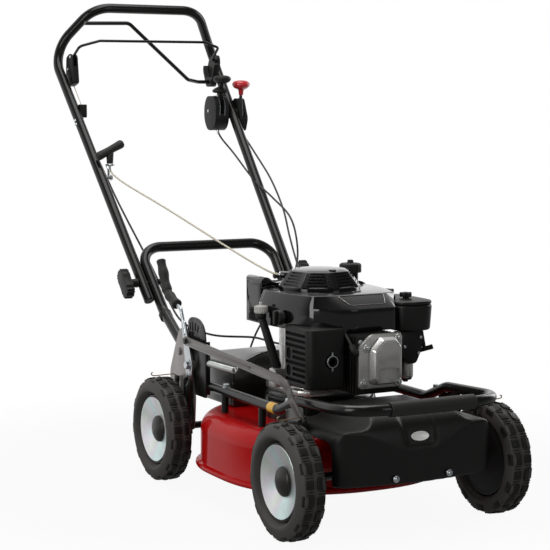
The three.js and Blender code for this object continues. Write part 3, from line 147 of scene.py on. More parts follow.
def addModifier(piece, kind, **settings):
    onlySelect(piece)
    modifier = piece.modifiers.new(kind.lower(), kind)
    for name, value in settings.items():
        setattr(modifier, name, value)
    bpy.ops.object.modifier_apply(modifier=modifier.name)


def roundEdges(piece, width, segments=2, angle=40):
    addModifier(piece, "BEVEL", width=mm(width), segments=segments, limit_method="ANGLE",
                angle_limit=math.radians(angle), use_clamp_overlap=True, harden_normals=False)


def smoothShade(piece, angle=35):
    onlySelect(piece)
    bpy.ops.object.shade_smooth_by_angle(angle=math.radians(angle))


def mergeDoubles(piece, apart):
    onlySelect(piece)
    bpy.ops.object.mode_set(mode="EDIT")
    bpy.ops.mesh.select_all(action="SELECT")
    bpy.ops.mesh.remove_doubles(threshold=apart)


def turnOut(piece):  # doubles merged first, then every face points outwards
    mergeDoubles(piece, 0.00002)
    bpy.ops.mesh.normals_make_consistent(inside=False)
    editDone()


def turnOnce(piece, centre, degrees, axis="X"):  # turns a piece about an axis through a place
    turn = Matrix.Rotation(math.radians(degrees), 4, axis)
    piece.matrix_world = Matrix.Translation(centre) @ turn @ Matrix.Translation(-centre)
    applyPlace(piece)
    return piece


def moveTo(piece, place3d):
    piece.location = place3d
    applyPlace(piece)
    return piece


def turnAndMove(piece, axis, place3d):  # a fitting made at the origin, turned round and set in place
    turnOnce(piece, origin, 180, axis)
    moveTo(piece, place3d)
    turnOut(piece)
    return piece


def joinPieces(name, parts):
    clearSelection()
    for part in parts:
        part.select_set(True)
    bpy.context.view_layer.objects.active = parts[0]
    if len(parts) > 1:
        bpy.ops.object.join()
    parts[0].name = name
    parts[0].data.name = name
    return parts[0]


def copyOf(piece, name):
    twin = piece.copy()
    twin.data = piece.data.copy()
    twin.name = name
    bpy.context.scene.collection.objects.link(twin)
    return twin


def bentPath(corners, steps=12):  # straight runs with a round bend at each inner corner (x, y, z, radius)
    points = [Vector(corner[:3]) for corner in corners]
    route = [points[0]]
    for i in range(1, len(points) - 1):
        into = (points[i] - points[i - 1]).normalized()
        out = (points[i + 1] - points[i]).normalized()
        turn = into.angle(out)
        radius = corners[i][3]
        axis = into.cross(out).normalized()
        start = points[i] - into * radius * math.tan(turn / 2)
        centre = start + axis.cross(into) * radius
        for k in range(steps + 1):
            route.append(centre + Matrix.Rotation(turn * k / steps, 3, axis) @ (start - centre))
    route.append(points[-1])
    return [spot(*point) for point in route]


def smoothRoute(points, perSpan=8):  # one smooth curve through the given points
    inner = [Vector(point) for point in points]
    whole = [inner[0] * 2 - inner[1]] + inner + [inner[-1] * 2 - inner[-2]]
    knots = [0.0]
    for before, after in zip(whole, whole[1:]):
        knots.append(knots[-1] + math.sqrt((after - before).length))
    route = []
    for i in range(1, len(whole) - 2):
        p, t = whole[i - 1:i + 3], knots[i - 1:i + 3]
        for k in range(perSpan):
            now = t[1] + (t[2] - t[1]) * k / perSpan
            near = [p[j] + (p[j + 1] - p[j]) * ((now - t[j]) / (t[j + 1] - t[j])) for j in range(3)]
            far = [near[j] + (near[j + 1] - near[j]) * ((now - t[j]) / (t[j + 2] - t[j]))
                   for j in range(2)]
            route.append(far[0] + (far[1] - far[0]) * ((now - t[1]) / (t[2] - t[1])))
    route.append(inner[-1])
    return [spot(*point) for point in route]


def sweptTube(name, route, radius, around=5, angle=50, swells=None):  # round section along a route
    curve = bpy.data.curves.new(name, "CURVE")
    curve.dimensions = "3D"
    curve.bevel_depth = mm(radius)
    curve.bevel_resolution = around
    curve.use_fill_caps = True
    spline = curve.splines.new("POLY")
    spline.points.add(len(route) - 1)
    for point, placed, swell in zip(spline.points, route, swells or [1] * len(route)):
        point.co = (*placed, 1)
        point.radius = swell
    piece = bpy.data.objects.new(name, curve)
    bpy.context.scene.collection.objects.link(piece)
    onlySelect(piece)
    bpy.ops.object.convert(target="MESH")
    piece = bpy.context.active_object
    turnOut(piece)
    smoothShade(piece, angle)
    return piece


axisTurns = {"x": (0, math.pi / 2, 0), "y": (-math.pi / 2, 0, 0), "z": (0, 0, 0)}


def turned(name, axis, centre, profile, steps=48, hollow=False, angle=35):  # drawn out ring by ring
    clearSelection()
    radius, height = profile[0]
    bpy.ops.mesh.primitive_circle_add(vertices=steps, radius=mm(radius), location=(0, 0, mm(height)),
                                      fill_type="NOTHING" if hollow else "NGON")
    piece = bpy.context.active_object
    piece.name = name
    applyPlace(piece)
    editAll("EDGE" if hollow else "FACE")
    rings = profile[1:] + [profile[0]] if hollow else profile[1:]
    for nextRadius, nextHeight in rings:
        drawFaces(0, 0, nextHeight - height)
        share = nextRadius / radius
        scaleFaces((share, share, share), (0, 0, mm(nextHeight)))
        radius, height = nextRadius, nextHeight
    editDone()
    piece.rotation_euler = axisTurns[axis]
    moveTo(piece, centre)
    turnOut(piece)
    smoothShade(piece, angle)
    return piece


def roundedLine(corners, perCorner=6):  # an outline through corners (u, v, radius), each one rounded
    line = []
    count = len(corners)
    for i, (u, v, radius) in enumerate(corners):
        here = Vector((u, v))
        before = Vector(corners[i - 1][:2]) - here
        after = Vector(corners[(i + 1) % count][:2]) - here
        enter = here + before.normalized() * min(radius, before.length / 2)
        leave = here + after.normalized() * min(radius, after.length / 2)
        if radius <= 0:
            line.append(here)
            continue
        for k in range(perCorner + 1):
            t = k / perCorner
            line.append(enter * (1 - t) ** 2 + here * 2 * t * (1 - t) + leave * t * t)
    return line


def strapLine(first, second, perEnd=14):  # outline of a flat strap round two circles (u, v, radius)
    start, end = Vector(first[:2]), Vector(second[:2])
    along = math.atan2(end.y - start.y, end.x - start.x)
    flare = math.acos((first[2] - second[2]) / (end - start).length)
    line = []
    for k in range(perEnd + 1):
        a = along + flare + (2 * math.pi - 2 * flare) * k / perEnd
        line.append(start + Vector((math.cos(a), math.sin(a))) * first[2])
    for k in range(perEnd + 1):
        a = along - flare + 2 * flare * k / perEnd
        line.append(end + Vector((math.cos(a), math.sin(a))) * second[2])
    return line


def slab(name, axis, line, low, high):  # a flat outline, drawn out along one axis from low to high
    clearSelection()
    bpy.ops.mesh.primitive_circle_add(vertices=len(line), radius=1, fill_type="NGON")
    piece = bpy.context.active_object
    piece.name = name
    for corner, (u, v) in zip(piece.data.vertices, line):
        corner.co = {"x": spot(low, u, v), "y": spot(u, low, v), "z": spot(u, v, low)}[axis]
    editAll()
    drawFaces(*[high - low if way == axis else 0 for way in "xyz"])
    bpy.ops.mesh.select_all(action="SELECT")
    bpy.ops.mesh.normals_make_consistent(inside=False)
    editDone()
    return piece


def cube(name, centre, size):
    clearSelection()
    bpy.ops.mesh.primitive_cube_add(size=1, location=centre, scale=[mm(length) for length in size])
    piece = bpy.context.active_object
    piece.name = name
    applyPlace(piece)
    return piece


def block(name, x0, x1, y0, y1, z0, z1):  # a box between two planes each way
    return cube(name, spot((x0 + x1) / 2, (y0 + y1) / 2, (z0 + z1) / 2), (x1 - x0, y1 - y0, z1 - z0))


def bar(name, start, end, radius, sides=32, endRadius=None):  # a round bar between two places
    reach = end - start
    clearSelection()
    bpy.ops.mesh.primitive_cone_add(vertices=sides, radius1=mm(radius), depth=reach.length,
                                    radius2=mm(radius if endRadius is None else endRadius),
                                    location=(start + end) / 2,
                                    rotation=reach.to_track_quat("Z", "Y").to_euler())
    piece = bpy.context.active_object
    piece.name = name
    applyPlace(piece)
    return piece


def barX(name, x0, x1, y, z, radius, sides=32):
    return bar(name, spot(x0, y, z), spot(x1, y, z), radius, sides)


def combine(piece, tools, operation, **options):  # boolean with each tool, which is then removed
    for tool in tools:
        settings = {"solver": "EXACT", **options}
        addModifier(piece, "BOOLEAN", object=tool, operation=operation, **settings)
        bpy.data.objects.remove(tool)
    return piece


def cutWith(piece, *tools):
    return combine(piece, tools, "DIFFERENCE")


def fuse(piece, *tools):
    return combine(piece, tools, "UNION")


def mirrored(piece, name):  # a copy on the other side of the machine
    twin = copyOf(piece, name)
    onlySelect(twin)
    twin.scale = (-1, 1, 1)
    applyPlace(twin)
    turnOut(twin)
    return twin


def hexBolt(name, place3d, axis, across, height, washer=0):  # bolt head, with a washer below it
    parts = []
    if washer:
        parts.append(turned(name, axis, place3d, [
            (washer, 0), (washer, 1.0), (washer - 0.5, 1.5), (across * 0.45, 1.5)], 32))
    head = turned(name, axis, place3d, [
        (across * 0.577, 1.4 if washer else 0), (across * 0.577, height - 0.8), (across * 0.5, height)],
        6, angle=20)
    roundEdges(head, 0.4, 2, 20)
    parts.append(head)
    return joinPieces(name, parts)


def softened(node):  # the CAD form with its edges rounded
    clearSelection()
    piece = copyOf(nodes[node], node + "_finished")
    piece.parent = None
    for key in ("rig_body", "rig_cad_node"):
        del piece[key]
    mergeDoubles(piece, 0.00001)
    editDone()
    roundEdges(piece, 0.6, 2, 30)
    smoothShade(piece, 38)
    return piece


def melted(piece, voxel, passes):  # walls remeshed finely and smoothed, as moulded plastic is
    addModifier(piece, "REMESH", mode="VOXEL", voxel_size=mm(voxel), use_smooth_shade=True)
    addModifier(piece, "SMOOTH", factor=0.5, iterations=passes)


def tone(red, green, blue):  # a screen colour, 0 to 255, as the shader wants it
    return (*[(c / 255 / 12.92 if c / 255 < 0.04045 else ((c / 255 + 0.055) / 1.055) ** 2.4)
              for c in (red, green, blue)], 1)


def setInputs(node, values):
    for label, value in values.items():
        node.inputs[label].default_value = value


def addNode(tree, kind, source=None, **settings):  # a shader node, fed at its first socket
    node = tree.nodes.new("ShaderNode" + kind)
    for label, value in settings.items():
        setattr(node, label, value)
    if source is not None:
        tree.links.new(source, node.inputs[0])
    return node


def newMaterial(name):
    material = bpy.data.materials.new(name)
    material.use_nodes = True
    return material, material.node_tree, material.node_tree.nodes["Principled BSDF"]


def addBump(tree, shader, height, strength, distance):
    bump = addNode(tree, "Bump")
    setInputs(bump, {"Strength": strength, "Distance": distance})
    tree.links.new(height, bump.inputs["Height"])
    tree.links.new(bump.outputs["Normal"], shader.inputs["Normal"])


def addRange(tree, value, fromLow, fromHigh, toLow, toHigh):  # a soft step from one value to another
    step = addNode(tree, "MapRange", value, interpolation_type="SMOOTHSTEP")
    setInputs(step, {"From Min": fromLow, "From Max": fromHigh, "To Min": toLow, "To Max": toHigh})
    return step.outputs["Result"]


def startGroup(name, inputs, outputs):
    group = bpy.data.node_groups.new(name, "ShaderNodeTree")
    for label, kind, value in inputs:
        socket = group.interface.new_socket(name=label, in_out="INPUT", socket_type="NodeSocket" + kind)
        if value is not None:
            socket.default_value = value
    for label, kind in outputs:
        group.interface.new_socket(name=label, in_out="OUTPUT", socket_type="NodeSocket" + kind)
    start = group.nodes.new("NodeGroupInput")
    end = group.nodes.new("NodeGroupOutput")
    return group, start, end


def addMath(tree, operation, first, second=None, third=None):
    node = addNode(tree, "Math", operation=operation)
    for i, value in enumerate((first, second, third)):
        if value is None:
            continue
        if isinstance(value, (int, float)):
            node.inputs[i].default_value = value
        else:
            tree.links.new(value, node.inputs[i])
    return node.outputs[0]


def addNoise(tree, vector, scale, detail=3.0, roughness=0.55):
    node = addNode(tree, "TexNoise")
    setInputs(node, {"Detail": detail, "Roughness": roughness})
    tree.links.new(vector, node.inputs["Vector"])
    if isinstance(scale, (int, float)):
        node.inputs["Scale"].default_value = scale
    else:
        tree.links.new(scale, node.inputs["Scale"])
    return node.outputs["Fac"]


def buildGrain():  # fine bumps of one size, with a slower drift beside them
    group, start, end = startGroup("surfaceGrain", [
        ("Vector", "Vector", None), ("Scale", "Float", 900.0),
        ("Drift Scale", "Float", 14.0)],
        [("Height", "Float"), ("Drift", "Float")])
    fine = addNoise(group, start.outputs["Vector"], start.outputs["Scale"], 2.0)
    slow = addNoise(group, start.outputs["Vector"], start.outputs["Drift Scale"], 4.0)
    group.links.new(fine, end.inputs["Height"])
    group.links.new(slow, end.inputs["Drift"])
    return group


def buildEdgeWear():  # where the surface turns sharply, broken up so that it looks rubbed
    group, start, end = startGroup("edgeWear", [
        ("Vector", "Vector", None), ("Breakup", "Float", 120.0),
        ("Amount", "Float", 0.5)],
        [("Mask", "Float")])
    geometry = addNode(group, "NewGeometry")
    sharp = addMath(group, "SUBTRACT", geometry.outputs["Pointiness"], 0.515)
    sharp = addMath(group, "MULTIPLY", sharp, 14.0)
    broken = addNoise(group, start.outputs["Vector"], start.outputs["Breakup"], 5.0, 0.7)
    broken = addMath(group, "SUBTRACT", broken, 0.35)
    mask = addMath(group, "MULTIPLY", sharp, broken)
    mask = addMath(group, "MULTIPLY", mask, start.outputs["Amount"])
    group.links.new(addNode(group, "Clamp", mask).outputs[0], end.inputs["Mask"])
    return group


def buildDust():  # a thin film that settles on what faces up
    group, start, end = startGroup("dustFilm", [
        ("Vector", "Vector", None), ("Scale", "Float", 30.0),
        ("Amount", "Float", 0.2)],
        [("Mask", "Float")])
    split = addNode(group, "SeparateXYZ", addNode(group, "NewGeometry").outputs["Normal"])
    up = addMath(group, "MAXIMUM", split.outputs["Z"], 0.0)
    up = addMath(group, "POWER", up, 2.0)
    cloud = addNoise(group, start.outputs["Vector"], start.outputs["Scale"], 6.0, 0.65)
    mask = addMath(group, "MULTIPLY", up, cloud)
    mask = addMath(group, "MULTIPLY", mask, start.outputs["Amount"])
    group.links.new(mask, end.inputs["Mask"])
    return group


def buildBlend():  # one colour drifting into another by a mask
    group, start, end = startGroup("colourDrift", [
        ("Mask", "Float", 0.5), ("Colour", "Color", (0.5, 0.5, 0.5, 1)),
        ("Other Colour", "Color", (0.4, 0.4, 0.4, 1))],
        [("Colour", "Color")])
    mix = addNode(group, "Mix", start.outputs["Mask"], data_type="RGBA")
    group.links.new(start.outputs["Colour"], mix.inputs[6])
    group.links.new(start.outputs["Other Colour"], mix.inputs[7])
    group.links.new(mix.outputs[2], end.inputs["Colour"])
    return group


groups = {"grain": buildGrain(), "edgeWear": buildEdgeWear(), "dust": buildDust(), "drift": buildBlend()}
print("shared effects built:", len(groups))


def addGroup(tree, name, vector=None, **values):
    node = addNode(tree, "Group", node_tree=groups[name])
    if vector is not None:
        tree.links.new(vector, node.inputs["Vector"])
    setInputs(node, values)
    return node


finishes = {}
dustColour = tone(150, 145, 138)


def layOver(tree, mask, under, over):  # one more colour on top of the last, where the mask says
    layer = addGroup(tree, "drift", **{"Other Colour": over})
    tree.links.new(mask, layer.inputs["Mask"])
    tree.links.new(under, layer.inputs["Colour"])
    return layer.outputs["Colour"]


def makeFinish(name, look):
    look = {**usualLook, **look}
    material, tree, shader = newMaterial(name)
    setInputs(shader, look["plain"])
    place3d = addNode(tree, "TexCoord").outputs["Object"]
    grain = addGroup(tree, "grain", place3d, Scale=look["grain"], **{"Drift Scale": look["drift"]})
    drift = addGroup(tree, "drift", Colour=tone(*look["colour"]),
                     **{"Other Colour": tone(*look["second"])})
    tree.links.new(grain.outputs["Drift"], drift.inputs["Mask"])
    colour = drift.outputs["Colour"]
    roughness = addMath(tree, "MULTIPLY_ADD", grain.outputs["Drift"], look["spread"],
                        look["rough"] - look["spread"] / 2)
    if look["worn"]:
        wear = addGroup(tree, "edgeWear", place3d, Breakup=140.0,
                        Amount=look["wornAmount"]).outputs["Mask"]
        colour = layOver(tree, wear, colour, tone(*look["worn"]))
        roughness = addMath(tree, "MULTIPLY_ADD", wear, -0.05, roughness)
    if look["dust"]:
        film = addGroup(tree, "dust", place3d, Scale=28.0, Amount=look["dust"]).outputs["Mask"]
        colour = layOver(tree, film, colour, dustColour)
        roughness = addMath(tree, "ADD", roughness, film)
    tree.links.new(colour, shader.inputs["Base Color"])
    tree.links.new(roughness, shader.inputs["Roughness"])
    addBump(tree, shader, grain.outputs["Height"], look["bump"], look["depth"])
    finishes[name] = material


usualLook = {"worn": None, "wornAmount": 0.3, "rough": 0.3, "spread": 0.1, "grain": 240.0, "drift": 22.0,
             "bump": 0.05, "depth": 0.0002, "dust": 0, "plain": {}}
looks = {  # screen colours: its own, the one it drifts to and that of worn edges, then how it shines
    "deckRed": {  # sprayed enamel under a clear coat, faint orange peel
        "colour": (164, 3, 5), "second": (172, 5, 7), "worn": (140, 20, 20), "wornAmount": 0.12,
        "rough": 0.34, "spread": 0.06, "grain": 260.0, "drift": 6.0, "depth": 0.0003, "dust": 0.01,
        "plain": {"Coat Weight": 0.38, "Coat Roughness": 0.04, "Specular IOR Level": 0.03}},
    "tubeBlack": {  # powder coat on the handle and frame tubes
        "colour": (15, 14, 13), "second": (20, 19, 18), "worn": (48, 46, 45), "wornAmount": 0.15,
        "rough": 0.22, "spread": 0.04, "drift": 9.0, "bump": 0.03, "dust": 0.02,
        "plain": {"Specular IOR Level": 0.22, "Coat Weight": 0.15, "Coat Roughness": 0.08}},
    "coverBlack": {  # satin moulded plastic of the covers
        "colour": (19, 19, 18), "second": (24, 24, 23), "worn": (58, 57, 56), "wornAmount": 0.35,
        "rough": 0.42, "grain": 1500.0, "drift": 7.0, "bump": 0.22, "depth": 0.00015, "dust": 0.05,
        "plain": {"Specular IOR Level": 0.22}},
    "glossBlack": {  # polished mouldings of the fan housing and starter cover
        "colour": (12, 12, 12), "second": (17, 17, 17), "worn": (40, 40, 40), "wornAmount": 0.2,
        "rough": 0.12, "spread": 0.04, "grain": 180.0, "drift": 10.0, "bump": 0.03, "depth": 0.0003,
        "dust": 0.02, "plain": {"Specular IOR Level": 0.25, "Coat Weight": 0.4, "Coat Roughness": 0.03}},
    "mouldBlack": {  # grained moulding of the air cleaner, tank, boxes and knobs
        "colour": (18, 18, 17), "second": (24, 24, 23), "worn": (64, 63, 62), "wornAmount": 0.35,
        "rough": 0.5, "grain": 1700.0, "drift": 11.0, "bump": 0.35, "dust": 0.05,
        "plain": {"Specular IOR Level": 0.25}},
    "heatBlack": {  # heat-proof paint on the cylinder and the muffler guard
        "colour": (16, 15, 14), "second": (22, 21, 20), "worn": (60, 58, 55), "wornAmount": 0.35,
        "rough": 0.46, "spread": 0.12, "grain": 520.0, "drift": 16.0, "bump": 0.3, "depth": 0.0003,
        "dust": 0.06, "plain": {"Specular IOR Level": 0.22}},
    "flatSteel": {  # black-painted flat steel of brackets and bars; its grey base colour is a painted reflection of the white surroundings
        "colour": (124, 119, 117), "second": (136, 131, 129), "worn": (176, 173, 169), "wornAmount": 0.5,
        "drift": 12.0, "dust": 0.04, "plain": {"Metallic": 0.55}},
    "barSteel": {  # long link bar, black-painted steel; its darker grey base colour is a painted reflection of the white surroundings
        "colour": (86, 82, 80), "second": (96, 92, 90), "worn": (160, 157, 153), "wornAmount": 0.45,
        "spread": 0.08, "drift": 12.0, "dust": 0.03, "plain": {"Metallic": 0.5}},
    "blackSteel": {
        "colour": (15, 14, 14), "second": (20, 19, 18), "worn": (64, 62, 60), "wornAmount": 0.2,
        "rough": 0.32, "spread": 0.05, "drift": 12.0, "dust": 0.05,
        "plain": {"Metallic": 0.3, "Coat Weight": 0.2, "Coat Roughness": 0.2}},
    "zinc": {  # bright zinc plate on the lever, bolts and springs
        "colour": (196, 200, 200), "second": (170, 176, 182), "worn": (222, 222, 218), "wornAmount": 0.4,
        "spread": 0.14, "grain": 360.0, "drift": 40.0, "bump": 0.14, "plain": {"Metallic": 1.0}},
    "castAlloy": {  # die-cast aluminium, slightly pitted
        "colour": (196, 195, 192), "second": (172, 171, 168), "worn": (220, 219, 216), "wornAmount": 0.4,
        "rough": 0.28, "spread": 0.08, "grain": 500.0, "drift": 9.0, "bump": 0.08, "depth": 0.0003,
        "plain": {"Metallic": 0.8}},
    "rubber": {
        "colour": (56, 53, 51), "second": (64, 61, 58), "worn": (92, 88, 84), "rough": 0.62,
        "spread": 0.12, "grain": 800.0, "drift": 18.0, "bump": 0.35, "depth": 0.0003, "dust": 0.1,
        "plain": {"Specular IOR Level": 0.4}},
    "treadRubber": {  # darker blocks with rubbed edges
        "colour": (20, 19, 18), "second": (26, 24, 23), "worn": (84, 81, 78), "rough": 0.5,
        "grain": 700.0, "drift": 18.0, "bump": 0.2, "depth": 0.0003, "dust": 0.03,
        "plain": {"Specular IOR Level": 0.2}},
    "softRubber": {
        "colour": (24, 23, 22), "second": (31, 30, 28), "worn": (62, 60, 58), "rough": 0.6,
        "grain": 1100.0, "drift": 20.0, "bump": 0.35, "depth": 0.0003, "dust": 0.08,
        "plain": {"Specular IOR Level": 0.4}},
    "cableBlack": {
        "colour": (18, 18, 18), "second": (26, 26, 26), "rough": 0.36, "grain": 300.0, "drift": 30.0,
        "bump": 0.1, "plain": {"Specular IOR Level": 0.5}},
    "knobRed": {
        "colour": (178, 22, 34), "second": (190, 32, 42), "worn": (200, 60, 62), "wornAmount": 0.06,
        "spread": 0.08, "grain": 1000.0, "bump": 0.12, "dust": 0.04,
        "plain": {"Coat Weight": 0.3, "Coat Roughness": 0.1}},
    "bladeSteel": {
        "colour": (92, 94, 97), "second": (74, 76, 80), "worn": (190, 190, 190), "wornAmount": 0.8,
        "rough": 0.4, "spread": 0.15, "grain": 500.0, "bump": 0.3, "depth": 0.0003,
        "plain": {"Metallic": 0.9}},
    "darkGrey": {  # grey plastic of the oil cap
        "colour": (156, 154, 150), "second": (168, 166, 162), "worn": (150, 148, 144), "wornAmount": 0.4,
        "rough": 0.42, "spread": 0.08, "grain": 1300.0, "bump": 0.2, "dust": 0.06},
    "capBlack": {  # moulded cap in the middle of each wheel
        "colour": (28, 26, 25), "second": (36, 34, 32), "worn": (70, 68, 66), "spread": 0.08,
        "grain": 900.0, "drift": 30.0, "bump": 0.15, "dust": 0.05, "plain": {"Specular IOR Level": 0.3}},
    "badgePlate": {  # blank oval plate, pale enamel with a bright rim
        "colour": (226, 226, 222), "second": (216, 217, 215), "worn": (232, 232, 230), "wornAmount": 0.4,
        "rough": 0.26, "spread": 0.08, "grain": 600.0, "drift": 60.0, "bump": 0.06, "depth": 0.0001,
        "plain": {"Metallic": 0.0, "Coat Weight": 0.5, "Coat Roughness": 0.08}},
    "bandYellow": {  # plain warning band round the frame
        "colour": (214, 160, 16), "second": (226, 172, 24), "worn": (180, 140, 40), "rough": 0.34,
        "spread": 0.06, "grain": 400.0, "drift": 30.0, "bump": 0.08, "depth": 0.0001, "dust": 0.03,
        "plain": {"Coat Weight": 0.4, "Coat Roughness": 0.08}},
    "satinTop": {  # smoother moulding of the drive cover
        "colour": (20, 20, 19), "second": (26, 26, 25), "worn": (58, 57, 56), "rough": 0.22,
        "spread": 0.04, "grain": 1500.0, "drift": 7.0, "bump": 0.02, "depth": 0.00015, "dust": 0.02,
        "plain": {"Specular IOR Level": 0.6, "Coat Weight": 0.5, "Coat Roughness": 0.16}},
    "soot": {  # near-black can behind the muffler guard, darker than the guard: painted shade seen through the guard's slots
        "colour": (9, 9, 9), "second": (16, 14, 13), "rough": 0.8, "grain": 700.0, "bump": 0.5,
        "depth": 0.0004, "plain": {"Specular IOR Level": 0.1}},
    "springZinc": {  # whitish plating of the assist spring
        "colour": (214, 216, 212), "second": (186, 190, 188), "worn": (150, 150, 148), "rough": 0.34,
        "spread": 0.12, "grain": 700.0, "drift": 60.0, "bump": 0.1, "plain": {"Metallic": 0.6}},
    "springWire": {
        "colour": (168, 150, 118), "second": (136, 118, 92), "rough": 0.34, "spread": 0.12,
        "grain": 700.0, "drift": 60.0, "bump": 0.1, "plain": {"Metallic": 0.9}},
}
for name, look in looks.items():
    makeFinish(name, look)


discStops = [(0.30, tone(208, 232, 232)), (0.76, tone(210, 230, 232)), (0.44, tone(218, 236, 234)),
             (0.54, tone(232, 228, 236)), (0.64, tone(226, 232, 224))]  # the two ends first


def makeDiscFinish():  # zinc disc: fine turned rings, and a faint colour that changes round the hub
    material, tree, shader = newMaterial("zincDisc")
    setInputs(shader, {"Metallic": 0.9, "Specular IOR Level": 0.5})
    place3d = addNode(tree, "Attribute", attribute_name="hubPlace")
    split = addNode(tree, "SeparateXYZ", place3d.outputs["Vector"])
    across, up = split.outputs["Y"], split.outputs["Z"]
    squares = [addMath(tree, "MULTIPLY", share, share) for share in (across, up)]
    reach = addMath(tree, "POWER", addMath(tree, "ADD", *squares), 0.5)
    angle = addMath(tree, "ARCTAN2", across, up)
    fan = addNode(tree, "CombineXYZ", addMath(tree, "COSINE", angle))
    tree.links.new(addMath(tree, "SINE", angle), fan.inputs["Y"])
    tree.links.new(addMath(tree, "MULTIPLY", reach, 4.0), fan.inputs["Z"])
    ramp = addNode(tree, "ValToRGB", addNoise(tree, fan.outputs[0], 0.9, 1.0))
    for i, (position, colour) in enumerate(discStops):
        element = ramp.color_ramp.elements[i] if i < 2 else ramp.color_ramp.elements.new(position)
        element.position = position
        element.color = colour
    grain = addGroup(tree, "grain", place3d.outputs["Vector"], Scale=420.0, **{"Drift Scale": 30.0})
    dim = addMath(tree, "MULTIPLY", addMath(tree, "SUBTRACT", grain.outputs["Drift"], 0.45), 0.9)
    spots = layOver(tree, addNode(tree, "Clamp", dim).outputs[0], ramp.outputs["Color"],
                    tone(150, 156, 160))
    tree.links.new(spots, shader.inputs["Base Color"])
    tree.links.new(addMath(tree, "MULTIPLY_ADD", grain.outputs["Drift"], 0.16, 0.30),
                   shader.inputs["Roughness"])
    rings = addMath(tree, "SINE", addMath(tree, "MULTIPLY", reach, 9000.0))
    addBump(tree, shader, addMath(tree, "MULTIPLY_ADD", rings, 0.35, grain.outputs["Height"]), 0.12,
            0.0002)
    finishes["zincDisc"] = material


def makeRopeFinish():  # laid cream cord: strands wind round it along its length
    material, tree, shader = newMaterial("rope")
    setInputs(shader, {"Specular IOR Level": 0.25})
    place3d = addNode(tree, "TexCoord").outputs["Object"]
    turn = addNode(tree, "Mapping", place3d)
    setInputs(turn, {"Rotation": (0.3, 0.25, 0.2)})
    wave = addNode(tree, "TexWave", turn.outputs[0], bands_direction="DIAGONAL")
    setInputs(wave, {"Scale": 150.0, "Distortion": 0.6, "Detail": 1.0})
    grain = addGroup(tree, "grain", place3d, Scale=2600.0, **{"Drift Scale": 40.0})
    shade = addGroup(tree, "drift", Colour=tone(178, 170, 150), **{"Other Colour": tone(222, 216, 200)})
    tree.links.new(wave.outputs["Fac"], shade.inputs["Mask"])
    tree.links.new(shade.outputs["Colour"], shader.inputs["Base Color"])
    tree.links.new(addMath(tree, "MULTIPLY_ADD", grain.outputs["Drift"], 0.1, 0.75),
                   shader.inputs["Roughness"])
    addBump(
        tree, shader, addMath(tree, "MULTIPLY_ADD", wave.outputs["Fac"], 0.8, grain.outputs["Height"]),
        0.6,
            0.0006)
    finishes["rope"] = material


makeDiscFinish()
makeRopeFinish()
print("finishes made:", len(finishes))


record = frame["record"]
slotOf = {row["node"]: row["material_slot"] for row in record["subparts"]}
bodyOf = {node: body for body, members in record["behaviour"]["bodies"].items() for node in members}


def coat(piece, finish):
    piece.data.materials.clear()
    piece.data.materials.append(finishes[finish])


def addTo(piece, node, finish, shade=None):  # a smaller thing that moves with a CAD form
    if shade:
        smoothShade(piece, shade)
    coat(piece, finish)
    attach(piece, bodyOf[node])


def standIn(piece, node, finish, shade=None):  # takes the place of a CAD form and moves with it
    addTo(piece, node, finish, shade=shade)
    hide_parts(node)


def shiftCopy(piece, name, x=0, y=0, z=0):
    return moveTo(copyOf(piece, name), (mm(x), mm(y), mm(z)))


def turnCopy(piece, name, centre, axis, degrees):  # a copy turned about an axis through a place
    return turnOnce(copyOf(piece, name), centre, degrees, axis)


wheel = {
    "radius": 120, "halfWidth": 27, "outX": -243.5, "rearY": 608, "axleZ": 120, "pitches": 11,
    "wideBlock": 25, "narrowBlock": 19, "ribs": (1.6, 2.6),
    "crown": [(113.5, 22.6), (115.2, 20.2), (115.8, 16), (116.2, 6), (115.4, 3.4)],
    "inside": [(78.8, 8), (79.4, 13), (81.8, 19), (85.4, 24), (87.6, 26), (90, 27), (94, 26.8),
               (103, 25.2),
               (110, 23.8)],
    "outside": [(110, 25.4), (104, 28.2), (98, 30.2), (93, 30.8), (89.4, 30), (87.4, 28.4), (86.2, 26),
                (83.4, 20),
                (79.8, 13), (78.8, 8)],  # the side that is seen bulges further out
    "body": [(9, -26), (22, -26), (24.5, -24), (25.5, -6), (66, -11), (70, -13), (72, -18), (78, -18),
             (78.2, -17),
             (78.2, 17.5), (77.6, 18.4), (72, 17.6), (34, 4.6), (9, 4.6)],
    "disc": [(74.2, 18.7), (74.4, 20.6), (73.4, 21.6), (71.4, 21), (36, 9), (33.5, 8.2), (30.5, 7.8),
             (29.5, 5.6),
             (38, 7), (72, 18.6)],
    "cap": [(30, 5.8), (30.2, 9.4), (29.6, 11.4), (27.8, 13.4), (24, 15.6), (18, 17.9), (11, 19.5),
            (4, 20.2),
            (1, 20.3)],
    "shield": [(20, 21.4), (20, 23.6), (60, 22.4), (72, 20.4), (76.4, 17.4), (77, 15), (75, 15),
               (70, 18.2)],
}
wheelMiddle = spot(wheel["outX"], 0, wheel["axleZ"])


